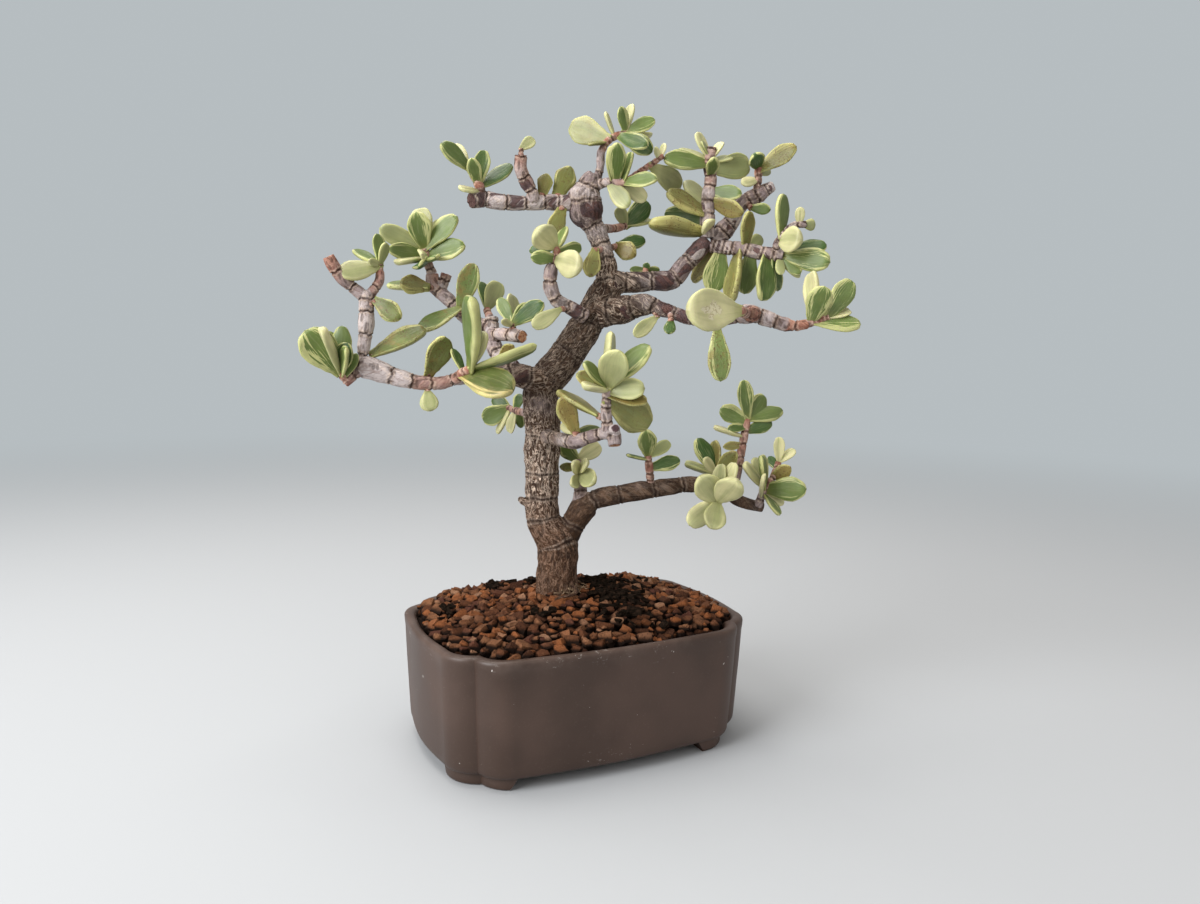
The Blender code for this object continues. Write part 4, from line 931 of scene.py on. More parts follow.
def screen_look():
    """The drain screens' dark green plastic mesh."""
    look = Look("screen_mesh", 0.6, 0.4)
    weave = look.node("ShaderNodeTexVoronoi", look.place, Scale=900).outputs["Distance"]
    look.bump(weave, 0.5, 0.0003)
    return look.paint(look.coats(SCREEN_DARK, (SCREEN_GREEN, weave, 0.25, 0.45)))


# Pot


LOBE_RADIUS = 15.5 * MM
LOBE_SHIFT = 10.5 * MM
SIDE_BOW = 2.8 * MM
POT_LENGTH = 155 * MM
POT_WIDTH = 112 * MM
POT_HEIGHT = 60 * MM
DRAFT = math.tan(math.radians(2.6))
WALL = 5 * MM
FLOOR_TOP = 10.5 * MM
LOBE_STEPS = 14
SIDE_STEPS = 6
DRAIN_PLACE = 34 * MM
DRAIN_RADIUS = 6 * MM
DRILL_LENGTH = 30 * MM
# The pot's section, in millimetres: heights and how far the wall is set in there, from the foot up the
# outside, over the rolled lip and down the inside to the floor.
POT_SECTION = [(5.5, 4.5), (5.55, 3.0), (5.75, 1.7), (6.2, 0.95), (7.0, 0.45), (8.2, 0.12), (10.5, 0.0),
               (20, 0.0), (30, 0.0), (40, 0.0), (50, 0.1), (54, 0.15), (56, 0.0), (58, -0.05),
               (59.0, 0.15), (59.6, 0.55), (59.95, 1.2), (60, 2.2), (59.9, 3.2), (59.5, 4.0),
               (58.8, 4.6), (57.5, 5.0), (50, 5.0), (13.5, 5.0), (11.2, 6.2), (10.5, 8.0)]
# The feet, in millimetres: how far they are set in, how far they reach along the sides past the corner's
# groove, how deep they are, and their section as height, how far the ends slant out, and how far the
# edge is rounded off.
FOOT_HEIGHT = 5.5
FOOT_INSET = 2.2
FOOT_REACH_LEFT = 9.5
FOOT_REACH_RIGHT = 15.2
FOOT_REACH_BACK = 15.2
FOOT_DEPTH = 15
FOOT_SECTION = [(0.0, 0.0, 0.9), (0.5, 0.3, 0.3), (1.3, 0.8, 0.0), (3.0, 2.0, 0.0), (5.2, 3.3, -0.1),
                (6.4, 4.0, -0.1)]


def lobe_arc(radius, shift, reach):
    """A lobe's plan from the corner's groove out to a reach along the side, as seen from the corner."""
    diagonal = (2 * radius + shift) / math.sqrt(2) - math.sqrt(radius ** 2 - shift ** 2 / 2)
    groove = Vector((diagonal, diagonal)) / math.sqrt(2)
    middle = radius + shift
    centre = Vector((middle, radius))
    start = math.atan2(groove.y - centre.y, groove.x - centre.x) % (2 * math.pi)
    end = 1.5 * math.pi - math.asin(max(0, middle - reach) / radius)
    angles = [start + (end - start) * step / (LOBE_STEPS - 1) for step in range(LOBE_STEPS)]
    arc = [centre + radius * Vector((math.cos(angle), math.sin(angle))) for angle in angles]
    return arc + [Vector((reach, 0))] if reach > middle else arc


def pot_outline(length, width, radius):
    """The pot's plan at one height, anticlockwise: two lobes at each corner and bowed sides."""
    lobe = lobe_arc(radius, LOBE_SHIFT, radius + LOBE_SHIFT)
    corner = [point.yx for point in reversed(lobe[1:])] + lobe
    half = Vector((length / 2, width / 2))
    near_left = [point - half for point in corner]
    near_right = [Vector((-point.x, point.y)) for point in reversed(near_left)]
    front, right = [], []
    for step in range(1, 2 * SIDE_STEPS):
        share = step / (2 * SIDE_STEPS)
        bow = SIDE_BOW * math.sin(math.pi * share)
        front.append(Vector((near_left[-1].x * (1 - 2 * share), -half.y - bow)))
        right.append(Vector((half.x + bow, near_right[-1].y * (1 - 2 * share))))
    part = near_left + front + near_right + right
    return part + [-point for point in part]


def pot_ring(height, inset):
    """The outline of the drafted wall at a height, moved in by an inset."""
    narrowing = 2 * (DRAFT * (POT_HEIGHT - height) + inset)
    radius = LOBE_RADIUS - 0.35 * inset
    outline = pot_outline(POT_LENGTH - narrowing, POT_WIDTH - narrowing, radius)
    return [Vector((point.x, point.y, height)) for point in outline]


def raise_rings(name, rings):
    """A closed body: a flat outline that is extruded from ring to ring."""
    deselect()
    bpy.ops.mesh.primitive_circle_add(vertices=len(rings[0]), radius=1, fill_type="NGON")
    made = bpy.context.object
    made.name = name
    with editing():
        builder = bmesh.from_edit_mesh(made.data)
        for vertex, point in zip(builder.verts, rings[0]):
            vertex.co = point
        for ring in rings[1:]:
            bpy.ops.mesh.extrude_region_move()
            builder = bmesh.from_edit_mesh(made.data)
            moved = sorted((vertex for vertex in builder.verts if vertex.select),
                           key=lambda vertex: vertex.index)
            for vertex, point in zip(moved, ring):
                vertex.co = point
        bpy.ops.mesh.select_all(action="SELECT")
        bpy.ops.mesh.normals_make_consistent(inside=False)
    return made


def corner_foot(side_x, side_y):
    """A foot that wraps one corner's groove, with slanted inner ends, rounded at the ground."""
    rings = []
    groove = lobe_arc(LOBE_RADIUS, LOBE_SHIFT, LOBE_RADIUS)[0].x
    straight = LOBE_RADIUS + LOBE_SHIFT + 0.05 * MM
    for height, spread, shrink in FOOT_SECTION:
        inset = DRAFT * (POT_HEIGHT - FOOT_HEIGHT * MM) + (FOOT_INSET + shrink) * MM
        half = Vector((POT_LENGTH / 2 - inset, POT_WIDTH / 2 - inset))
        along = groove + (spread - shrink + (FOOT_REACH_LEFT if side_x < 0 else FOOT_REACH_RIGHT)) * MM
        along = along if side_x < 0 else max(along, straight)
        back = max(groove + (spread - shrink + FOOT_REACH_BACK) * MM, straight)
        depth = (FOOT_DEPTH - shrink) * MM
        end_wall = [point.yx for point in lobe_arc(LOBE_RADIUS, LOBE_SHIFT, back)]
        corner = end_wall[:0:-1] + lobe_arc(LOBE_RADIUS, LOBE_SHIFT, along)
        corner += [Vector((along, depth)), Vector((depth, depth)), Vector((depth, back))]
        plan = [point - half for point in corner]
        rings.append([Vector((-side_x * point.x, -side_y * point.y, height * MM)) for point in plan])
    return raise_rings("corner_foot", rings)


def make_pot(look):
    """The pot: drafted lobed wall with a rolled lip, floor with drain holes, and four corner feet."""
    pot = raise_rings("clay_pot", [pot_ring(height * MM, inset * MM) for height, inset in POT_SECTION])
    for side_x in (-1, 1):
        for side_y in (-1, 1):
            foot = corner_foot(side_x, side_y)
            apply_modifier(pot, "BOOLEAN", operation="UNION", object=foot, solver="EXACT")
            discard(foot)
    for side in (-1, 1):
        deselect()
        bpy.ops.mesh.primitive_cylinder_add(vertices=40, radius=DRAIN_RADIUS, depth=DRILL_LENGTH,
                                            location=(side * DRAIN_PLACE, 0, FLOOR_TOP))
        drill = bpy.context.object
        apply_modifier(pot, "BOOLEAN", operation="DIFFERENCE", object=drill, solver="EXACT")
        discard(drill)
    pot.location = POT_MIDDLE
    settle(smooth(wear(pot, look), 35))
    finish_piece(pot, "clay", "pot")


# Soil


# The heap's height from the middle to the wall, how much higher its back is, how deep and wide its dip
# is and where, how high and dense its lumps are, and how deep the fines lie under the stones.
SOIL_HEAP = [(0.0, 71.5), (0.3, 70.0), (0.62, 67.0), (0.86, 63.8), (1.0, 60.6)]
SOIL_LEAN = 1.2
SOIL_DIP = 2.0
SOIL_DIP_PLACE = Vector((30, 32))
SOIL_DIP_WIDTH = 22
SOIL_LUMP = 2.0
SOIL_LUMPS_PER_METRE = 52
LUMP_LAYER = Vector((0, 0, 3.3))
SOIL_GRAIN = 0.8
SOIL_GRAINS_PER_METRE = 400
SOIL_SINK = 5.0
# The soil's foot on the floor, as heights and gaps to the wall, the height of its surface at the wall,
# the gap there, and the shares of the way out at which the surface is ringed.
SOIL_FOOT = [(11.7, 3.3), (15.7, 0.3)]
SOIL_RIM = 57 * MM
SOIL_GAP = 0.3 * MM
SOIL_SHARES = (1.0, 0.95, 0.88, 0.8, 0.7, 0.6, 0.5, 0.4, 0.3, 0.2, 0.1, 0.03)


def inside_pot():
    """The plan of the pot's inner wall at the soil's surface."""
    return pot_ring(SOIL_RIM, WALL + SOIL_GAP)


def soil_height(point, wall):
    """The heap's height at a point in the pot's frame, and the share of the way out to the wall."""
    angle = math.atan2(point.y, point.x)
    nearest = min(wall, key=lambda edge: abs(math.remainder(math.atan2(edge.y, edge.x) - angle,
                                                            math.tau)))
    share = math.hypot(point.x, point.y) / math.hypot(nearest.x, nearest.y)
    away = (point.xy / MM - SOIL_DIP_PLACE).length
    lump = SOIL_LUMP * noise.noise(Vector((point.x, point.y, 0)) * SOIL_LUMPS_PER_METRE + LUMP_LAYER)
    lean = SOIL_LEAN * point.y / (POT_WIDTH / 2)
    height = read_table(SOIL_HEAP, share) + lump + lean - SOIL_DIP * hill(away, SOIL_DIP_WIDTH)
    return height * MM, share


def make_soil_bed(look):
    """The fines that fill the pot, up to just under the stones."""
    wall = inside_pot()
    rings = [pot_ring(height * MM, WALL + gap * MM) for height, gap in SOIL_FOOT]
    for scale in SOIL_SHARES:
        ring = []
        for point in wall:
            spot = Vector((point.x * scale, point.y * scale, 0))
            height, _ = soil_height(spot, wall)
            grain = SOIL_GRAIN * noise.noise(spot * SOIL_GRAINS_PER_METRE)
            ring.append(Vector((spot.x, spot.y, height + (grain - SOIL_SINK) * MM)))
        rings.append(ring)
    bed = raise_rings("soil_bed", rings)
    bed.location = POT_MIDDLE
    settle(smooth(wear(bed, look)))
    finish_piece(bed, "gravel", "soil")


def stone_masters(picker):
    """A few rounded angular stones: cubes with eased edges, knocked about."""
    masters = []
    for number in range(STONE_MASTERS):
        deselect()
        bpy.ops.mesh.primitive_cube_add(size=1)
        stone = bpy.context.object
        with editing():
            bpy.ops.mesh.subdivide(number_cuts=2)
            bpy.ops.transform.tosphere(value=0.3)
            bpy.ops.transform.vertex_random(offset=0.17, seed=number + 3)
            bpy.ops.mesh.vertices_smooth(factor=0.25, repeat=1)
            bpy.ops.mesh.normals_make_consistent(inside=False)
        stone.scale = (picker.uniform(1.2, 1.65), picker.uniform(0.95, 1.3), picker.uniform(0.85, 1.1))
        masters.append(smooth(settle(stone), 32))
    return masters


def chip_masters(picker):
    """A few flat chips."""
    masters = []
    for number in range(CHIP_MASTERS):
        deselect()
        bpy.ops.mesh.primitive_cube_add(size=1)
        chip = bpy.context.object
        with editing():
            bpy.ops.mesh.subdivide(number_cuts=1)
            bpy.ops.mesh.vertices_smooth(factor=0.3)
            bpy.ops.transform.vertex_random(offset=0.12, seed=number + 11)
        chip.scale = (picker.uniform(1.3, 2.1), picker.uniform(0.7, 1.0), picker.uniform(0.3, 0.5))
        masters.append(settle(chip))
    return masters


def tumble(picker, tilt, lean):
    """Any turn about the upright, and a tip that spreads by a tilt and a lean, as matrices."""
    turn = Matrix.Rotation(picker.uniform(0, math.tau), 4, "Z")
    tip = Matrix.Rotation(picker.gauss(0, tilt), 4, "X")
    return turn, tip @ Matrix.Rotation(picker.gauss(0, lean), 4, "Y")


def lie(x, y, height, size, turn, tip):
    """How something of a size lies at a place in the pot's frame."""
    place = Matrix.Translation(POT_MIDDLE + Vector((x * MM, y * MM, height)))
    return place @ turn @ tip @ Matrix.Diagonal((size, size, size, 1))


def scatter(picker, masters, spots, name, look):
    """Copies of the masters at the spots, as one piece. A spot is a matrix, a colour and how far debris
    and depth darken it; each vertex also keeps its height in its stone, for the painted shade low on the
    stone.
    """
    copies, colours, shade_and_debris = [], [], []
    for matrix, colour, debris_and_depth in spots:
        copy = copy_piece(picker.choice(masters))
        copy.data.transform(matrix)
        copies.append(copy)
        colours += [colour] * len(copy.data.vertices)
        half = 0.5 * matrix.to_scale().x
        middle = matrix.translation.z
        shade_and_debris += [((vertex.co.z - middle) / half, debris_and_depth, 0) for vertex in copy.data.vertices]
    made = join(copies, name)
    set_vectors(made.data, "stone", colours)
    set_vectors(made.data, "shade_and_debris", shade_and_debris)
    discard(*masters)
    finish_piece(wear(made, look), "gravel")


# The stones, from the lower layer to the loose top one: sizes from and to with each one's share of the
# tries, how many tries, how near they may lie, and how far the layer lies down.
GRAVEL = [([(4.2, 5.6, 1.0)], 2600, 0.72, 2.6),
          ([(5.2, 6.6, 0.06), (3.6, 5.0, 0.3), (2.2, 3.4, 0.64)], 9000, 0.9, 0.0)]
STONE_MASTERS = 12
# Half of the ground that is tried, how far apart stones surely don't touch, and how much of a stone's
# size stays clear of the trunk and of the wall.
STREWN = (77, 56)
FAR_APART = 14
TRUNK_GAP = 0.4
WALL_GAP = 0.42
# Where the trunk stands, how far its foot reaches, and how much more room chips leave it.
TRUNK_SPOT = Vector((-7.2, 5.1))
TRUNK_REACH = 9.5
CHIP_ROOM = 1.5
CHIP_MASTERS = 5
# Where the chips lie, in millimetres in the pot's frame: the middle and spread of each group, how many
# there are, and how high above the soil's surface. The first groups also lie in dark dirt.
CHIPS = [((12, 9), (6, 6), 62, 1.0), ((20, -4), (6, 7), 46, 0.9), ((18, -19), (6, 6), 30, 0.8),
         ((14, -34), (5, 6), 20, 0.7), ((29, 19), (10, 6), 38, 1.0), ((-62, 10), (4, 5), 9, 0.8),
         ((-30, 32), (8, 4), 14, 0.9), ((-10, 35), (9, 4), 16, 0.9), ((-24, -22), (3, 2), 3, 1.2)]
DIRT_GROUPS = 5
FIBRES = 22


def strew(picker, wall, sizes, tries, crowding):
    """Places for stones over the soil, big ones first, none nearer to another than crowding allows."""
    taken = []
    for low, high, share_of_tries in sizes:
        for _ in range(int(tries * share_of_tries)):
            size = picker.uniform(low, high)
            spot = Vector([picker.uniform(-half, half) for half in STREWN])
            if (spot - TRUNK_SPOT).length < TRUNK_REACH + TRUNK_GAP * size:
                continue
            if any(abs(spot.x - other.x) + abs(spot.y - other.y) < FAR_APART and
                   (spot - other).length < crowding * (size + reach) / 2 for other, reach in taken):
                continue
            _, share = soil_height(spot * MM, wall)
            if share + WALL_GAP * size / spot.length < 1:
                taken.append((spot, size))
    return taken


def dirt_at(spot):
    """How much of the dark debris lies at a spot, from 0 to 1."""
    shares = [0.0]
    for middle, spread, _, _ in CHIPS[:DIRT_GROUPS]:
        x, y = (spot.x - middle[0]) / spread[0], (spot.y - middle[1]) / spread[1]
        shares.append(math.exp(-0.35 * (x * x + y * y)))
    return max(shares)


def make_gravel(look):
    """Baked clay gravel over the whole surface: a loose top layer over a lower one."""
    picker = random.Random(41)
    wall = inside_pot()
    layers = [(strew(picker, wall, *layer), drop) for *layer, drop in GRAVEL]
    spots = []
    for taken, drop in layers:
        for spot, size in taken:
            height, _ = soil_height(spot * MM, wall)
            height += (1.0 - 0.45 * size - drop + picker.uniform(-1.0, 0.9)) * MM
            matrix = lie(spot.x, spot.y, height, size * 0.8 * MM, *tumble(picker, 0.5, 0.5))
            colour = (picker.random(), picker.random(), picker.random())
            # Darker where the debris lies, and darker still for the stones of the lower layer.
            debris_and_depth = min(dirt_at(spot) * picker.uniform(0.3, 1.5) + 0.3 * drop, 1.0)
            spots.append((matrix, colour, debris_and_depth))
    scatter(picker, stone_masters(picker), spots, "gravel_stones", look)


def make_chips(look):
    """Dark bark chips, most of them right of the trunk and along the back and left wall."""
    picker = random.Random(17)
    wall = inside_pot()
    masters = chip_masters(picker)
    spots = []
    for centre, spread, count, rise in CHIPS:
        made = 0
        while made < count:
            x, y = centre[0] + picker.gauss(0, spread[0]), centre[1] + picker.gauss(0, spread[1])
            height, share = soil_height(Vector((x * MM, y * MM)), wall)
            if share > 0.94 or (Vector((x, y)) - TRUNK_SPOT).length < TRUNK_REACH + CHIP_ROOM:
                continue
            made += 1
            size = picker.uniform(2.0, 4.8) * MM
            turned = tumble(picker, 0.45, 0.3)
            height += (rise + picker.uniform(-0.6, 0.6)) * MM
            spots.append((lie(x, y, height, size, *turned), (0, 0, 0), 0))
    scatter(picker, masters, spots, "bark_chips", look)


def make_root_fibres(look):
    """Fine pale surface roots on the stones at the trunk's right foot."""
    picker = random.Random(5)
    strands = []
    for _ in range(FIBRES):
        angle = math.radians(picker.uniform(-75, 5))
        point = Vector((TRUNK_REACH * math.cos(angle), TRUNK_REACH * math.sin(angle),
                        picker.uniform(72.5, 76.5)))
        path = []
        for _ in range(picker.randint(4, 6)):
            path.append((*point, picker.uniform(0.12, 0.26)))
            angle += picker.gauss(-0.15, 0.75)
            point = point + Vector((1.7 * math.cos(angle), 1.7 * math.sin(angle), 0))
            point.z = max(point.z - picker.uniform(0.2, 1.8), 72.6 + picker.uniform(-0.5, 0.9))
        strands.append(smooth(stem_run(smooth_path(path, STEM_STEP), 1)))
    fibres = join(strands, "root_fibres")
    fibres.matrix_world = TREE
    finish_piece(settle(wear(fibres, look)), "bark")


# Wood


# How far apart a stem's points lie and a shoot's, how thick a stem is that gets the coarser mesh, and
# the coarser and the finer mesh's grain, in millimetres.
STEM_STEP = 0.8
SHOOT_STEP = 0.45
THICK_STEM = 6
COARSE_GRAIN = 0.55
FINE_GRAIN = 0.42


def smooth_path(path, spacing):
    """A path's points rounded off and placed evenly, as (point, radius) in millimetres."""
    points = [Vector(point[:3]) for point in path]
    radii = [point[3] for point in path]
    steps = []
    for index in range(len(points) - 1):
        before = points[max(index - 1, 0)]
        start, end = points[index], points[index + 1]
        after = points[min(index + 2, len(points) - 1)]
        count = max(2, round((end - start).length / spacing))
        for step in range(count):
            share = step / count
            square, cube = share ** 2, share ** 3
            point = ((2 * cube - 3 * square + 1) * start
                     + (cube - 2 * square + share) * (end - before) / 2
                     + (3 * square - 2 * cube) * end + (cube - square) * (after - start) / 2)
            steps.append((point, radii[index] + (radii[index + 1] - radii[index]) * ease(share)))
    steps.append((points[-1], radii[-1]))
    return steps


def stem_run(steps, sides=4):
    """A round closed tube along a smoothed path."""
    deselect()
    bpy.ops.curve.primitive_nurbs_path_add()
    run = bpy.context.object
    curve = run.data
    curve.dimensions = "3D"
    curve.bevel_depth = MM
    curve.bevel_resolution = sides
    curve.use_fill_caps = True
    curve.splines.clear()
    spline = curve.splines.new("POLY")
    spline.points.add(len(steps) - 1)
    for point, (spot, radius) in zip(spline.points, steps):
        point.co = (*(spot * MM), 1)
        point.radius = radius
    run.location = (0, 0, 0)
    select(run)
    bpy.ops.object.convert(target="MESH")
    with editing():
        bpy.ops.mesh.select_all(action="SELECT")
        bpy.ops.mesh.remove_doubles(threshold=0.01 * MM)
        bpy.ops.mesh.normals_make_consistent(inside=False)
    return run


# What the bark is like at one point of a run: its place and thickness, how far along it lies and which
# way the run goes there, the run's ring scars, the tone of each segment between them, where the run's
# noise starts, the bark's age, and how pale the cut is that ends the run here.
Sample = namedtuple("Sample", "point radius along ahead rings tones phase age healed")


def ring_places(length, spacing, picker):
    """Where the ring scars of a run lie along it."""
    places = []
    along = picker.uniform(0.3, 0.8) * spacing
    while along < length:
        places.append(along)
        along += spacing * picker.uniform(0.65, 1.3)
    return places


def sample_bark(name, runs, bark):
    """The samples of a stem's runs, apart from those that its first run has swallowed."""
    root_age, tip_age, spacing, _, _, peel = bark
    picker = random.Random("bark " + name)
    samples = []
    for number, run in enumerate(runs):
        first = number == 0
        length = sum((after - before).length for (before, _), (after, _) in zip(run, run[1:]))
        rings = ring_places(length, spacing, picker)
        rings = RINGS.get(name, rings) if first else rings
        tones = [(picker.random(), float(picker.random() < PEELED * peel))
                 for _ in range(len(rings) + 1)]
        for pale in PALE_SEGMENTS.get(name, ()) if first else ():
            tones[pale] = (1.0, 0.0)
        phase = picker.uniform(0, 50)
        along = 0.0
        for index, (point, radius) in enumerate(run):
            along += (point - run[max(index - 1, 0)][0]).length
            if not first and any((point - other).length < SWALLOWED * girth for other, girth in runs[0]):
                continue
            ahead = run[min(index + 1, len(run) - 1)][0] - run[max(index - 1, 0)][0]
            if first:
                age = tip_age + (root_age - tip_age) * (1 - along / length) ** 2
                if sum(ring < along for ring in rings) in RED_SEGMENTS.get(name, ()):
                    age -= RED_SEGMENT_FADE
            else:
                age = tip_age - (0.0 if name == "trunk" else 0.02 + 0.2 * along / length)
            age -= YOUNG_END_FADE * ease((along - length + YOUNG_ENDS.get(name, 0)) / 5)
            if name == "trunk":
                age -= SMOOTH_BAND_FADE * hill(point.z - SMOOTH_BAND, SMOOTH_BAND_REACH)
            last = index == len(run) - 1
            healed = CUT_ENDS.get(name, {}).get(number, 0) if last else 0
            samples.append(Sample(point, radius, along, ahead.normalized(), rings, tones, phase, age,
                                  healed))
    return samples


def sample_tree(samples):
    """A tree in which the sample nearest to a place is found."""
    tree = KDTree(len(samples))
    for index, sample in enumerate(samples):
        tree.insert(sample.point, index)
    tree.balance()
    return tree


def carve_bark(name, stem, runs, bark):
    """Gives a stem its ring scars, wrinkles and lumps, and stores what its material reads."""
    _, _, spacing, ring_depth, fissure, peel = bark
    samples = sample_bark(name, runs, bark)
    tree, main_tree = sample_tree(samples), sample_tree(samples[:len(runs[0])])
    stored = {"grain": [], "bark": [], "scar": [], "segment": [], "nature": []}
    moved = []
    for vertex in stem.data.vertices:
        place = vertex.co / MM
        _, index, reach = tree.find(place)
        if index >= len(runs[0]) and reach > SIDE_RUN_REACH * samples[index].radius:
            _, index, _ = main_tree.find(place)
        point, radius, along, ahead, rings, tones, phase, age, healed = samples[index]
        offset = place - point
        past = offset.dot(ahead)
        along += past
        outward = offset - ahead * past
        distance = outward.length
        outward = outward.normalized() if distance > 0.01 else Vector((0, 0, 1))
        side = min(distance / max(radius, 0.1), 1.0)
        girth = max(radius, 2)
        grain = stretch(outward, (girth, girth, girth), along + phase)

        at = along + noise.noise(stretch(outward, (1.5, 1.5, 1.5), phase)) * RING_WAVE
        gap = min([abs(at - ring) for ring in rings] or [NO_RING])
        gap += NO_RING * ease((RINGS_FROM - place.z) / 8)
        ring = ring_depth * (0.9 * hill(gap, 1.1) - 1.7 * hill(gap, 0.45))
        between = ring_depth * 0.7 * (ease(gap / (0.45 * spacing)) - 0.5)
        ridged = 0.5 - abs(noise.noise(stretch(grain, (0.5, 0.5, 0.16)))) * 2.4
        relief = max(ridged, -0.6) + noise.noise(stretch(place, (0.8, 0.8, 0.35))) * 0.6
        lump = noise.noise(place * 0.16) * 0.08 * radius
        moved.append(vertex.normal * ((ring + between + fissure * relief + lump) * side * MM))

        patch = noise.noise(stretch(grain, (0.22, 0.22, 0.1), 9)) * 1.2 + 0.28
        face = healed if past > -0.45 and distance < 0.86 * radius else 0.0
        tone, peeled = tones[sum(ring_place < at for ring_place in rings)]
        band, dim = 0, DIM_BARK.get(name, 0)
        if name == "trunk":
            band = 0.25 * hill(place.z - SMOOTH_BAND, SMOOTH_BAND_REACH)
            dim = TRUNK_DIM * ease((place.z - TRUNK_DIM_FROM) / 8)
        stored["grain"].append(grain)
        stored["bark"].append((age + 0.12 * noise.noise(place * 0.1), relief, patch * peel))
        stored["scar"].append((hill(gap, 0.6) * side, face, hill(gap - 0.95, 0.4) * side))
        stored["segment"].append((tone, peeled, hill(gap, 1.7)))
        stored["nature"].append((min(fissure / FULL_FISSURE, 1.0) * (1 - band), dim, 0))
    for vertex, shift in zip(stem.data.vertices, moved):
        vertex.co += shift
    for attribute, values in stored.items():
        set_vectors(stem.data, attribute, values)


def make_wood(look):
    """Every stem, grown from its runs of wood and carved."""
    for name, paths in STEMS.items():
        runs = [smooth_path(path, STEM_STEP) for path in paths]
        stem = join([stem_run(run) for run in runs], name + "_wood")
        thickest = max(point[3] for path in paths for point in path)
        size = (COARSE_GRAIN if thickest > THICK_STEM else FINE_GRAIN) * MM
        apply_modifier(stem, "REMESH", mode="VOXEL", voxel_size=size)
        apply_modifier(stem, "SMOOTH", factor=0.5, iterations=4)
        carve_bark(name, stem, runs, BARK[name])
        stem.matrix_world = TREE
        settle(smooth(wear(stem, look)))
        finish_piece(stem, "bark", name)


# Leaves


# How wide a leaf is along its length, as shares, and how thick it is as a share of its width.
LEAF_WIDTHS = [(0.0, 0.2), (0.1, 0.27), (0.24, 0.52), (0.4, 0.79), (0.55, 0.95), (0.68, 1.0),
               (0.8, 0.95), (0.9, 0.76), (0.96, 0.52), (1.0, 0.0)]
LEAF_THICKNESS = 0.33
# How deep a leaf's foot sits in its stem, the coarse and the fine mesh as segments and rings, how long
# a leaf is that takes the fine one, in millimetres, and the share of its length under which a leaf's
# width shows that it is turned away.
LEAF_ROOT = 1.2
LEAF_MESHES = [(14, 10), (22, 16)]
LONG_LEAF = 13
TURNED_AWAY = 0.42


def leaf_master(segments, rings):
    """A leaf one unit long and wide, with its foot at the origin, still flat and round in section."""
    deselect()
    bpy.ops.mesh.primitive_uv_sphere_add(segments=segments, ring_count=rings, radius=0.5)
    leaf = bpy.context.object
    for vertex in leaf.data.vertices:
        vertex.co.z += 0.5
    return smooth(leaf)


def leaf_frame(foot, tip, turn):
    """The leaf's own axes as columns: across, through its thickness, and from foot to tip."""
    along = (tip - foot).normalized()
    front = Vector((0, -1, 0))
    face = (front - along * along.dot(front)).normalized()
    face = Matrix.Rotation(math.radians(turn), 3, along) @ face
    return Matrix((face.cross(along), face, along)).transposed()


def leaf_turn(foot, tip, width, turn):
    """A leaf's real width and turn: one that looks narrow is a wider one that is turned away."""
    length = (tip - foot).length
    if width >= TURNED_AWAY * length:
        return width, turn
    real_width = min(0.5 * length, 1.9 * width)
    section = LEAF_THICKNESS * real_width
    seen = max(width ** 2 - section ** 2, 0.0) / max(real_width ** 2 - section ** 2, 0.01)
    away = math.degrees(math.acos(min(math.sqrt(seen), 1.0)))
    level, other = (leaf_frame(foot, tip, turn + side * away).col[1].z for side in (1, -1))
    return real_width, turn + (away if level > other else -away)


def grow_leaf(masters, foot, tip, width, turn, kind, picker):
    """One leaf from its foot to its tip, cupped and bent, with the numbers its material reads."""
    green, margin, speckle, yellow, pointed, streaky = LEAF_KINDS[kind]
    width, turn = leaf_turn(foot, tip, width, turn)
    axes = leaf_frame(foot, tip, turn + picker.uniform(-9, 9))
    start = foot - LEAF_ROOT * (tip - foot).normalized()
    length = (tip - foot).length
    reach = length + LEAF_ROOT
    cup = picker.uniform(0.04, 0.2)
    bend = picker.uniform(-0.02, 0.14)
    lean = picker.uniform(-0.05, 0.05)
    leaf = copy_piece(masters[1 if length > LONG_LEAF else 0])
    shapes = []
    for vertex in leaf.data.vertices:
        x, y, along = vertex.co
        round_half = math.sqrt(max(0.25 - (along - 0.5) ** 2, 1e-9))
        share, side = (x / round_half, y / round_half) if round_half >= 1e-3 else (0.0, 0.0)
        narrow = 1 - pointed * 0.55 * ease((along - 0.62) / 0.38)
        profile = read_table(LEAF_WIDTHS, along)
        wide = profile + 0.4 * pointed * (1 - ease(along / 0.45))
        across = share * 0.5 * width * wide * narrow
        plump = min(profile + 0.25, 1.0) * (1 - 0.15 * share * share)
        through = math.copysign(abs(side) ** 0.75, side) * 0.5 * LEAF_THICKNESS * width * plump
        through += cup * width * share * share * wide * narrow
        through += bend * reach * (along - 0.15) ** 2 - lean * across
        vertex.co = (start + axes @ Vector((across, through, along * reach))) * MM
        shapes.append((share, along, side))
    count = len(shapes)
    seed = picker.random()
    jitter = picker.uniform(-0.12, 0.12)
    set_vectors(leaf.data, "leaf", shapes)
    set_vectors(leaf.data, "tone", [(green + jitter, margin - 0.5 * jitter, speckle)] * count)
    set_vectors(leaf.data, "tint", [(min(max(yellow + jitter, 0), 1), seed, streaky)] * count)
    return leaf


def point_on(path, place_along):
    """A point on a shoot's path, counted in the path's own points."""
    index = min(int(place_along), len(path) - 2)
    return Vector(path[index][:3]).lerp(Vector(path[index + 1][:3]), place_along - index)


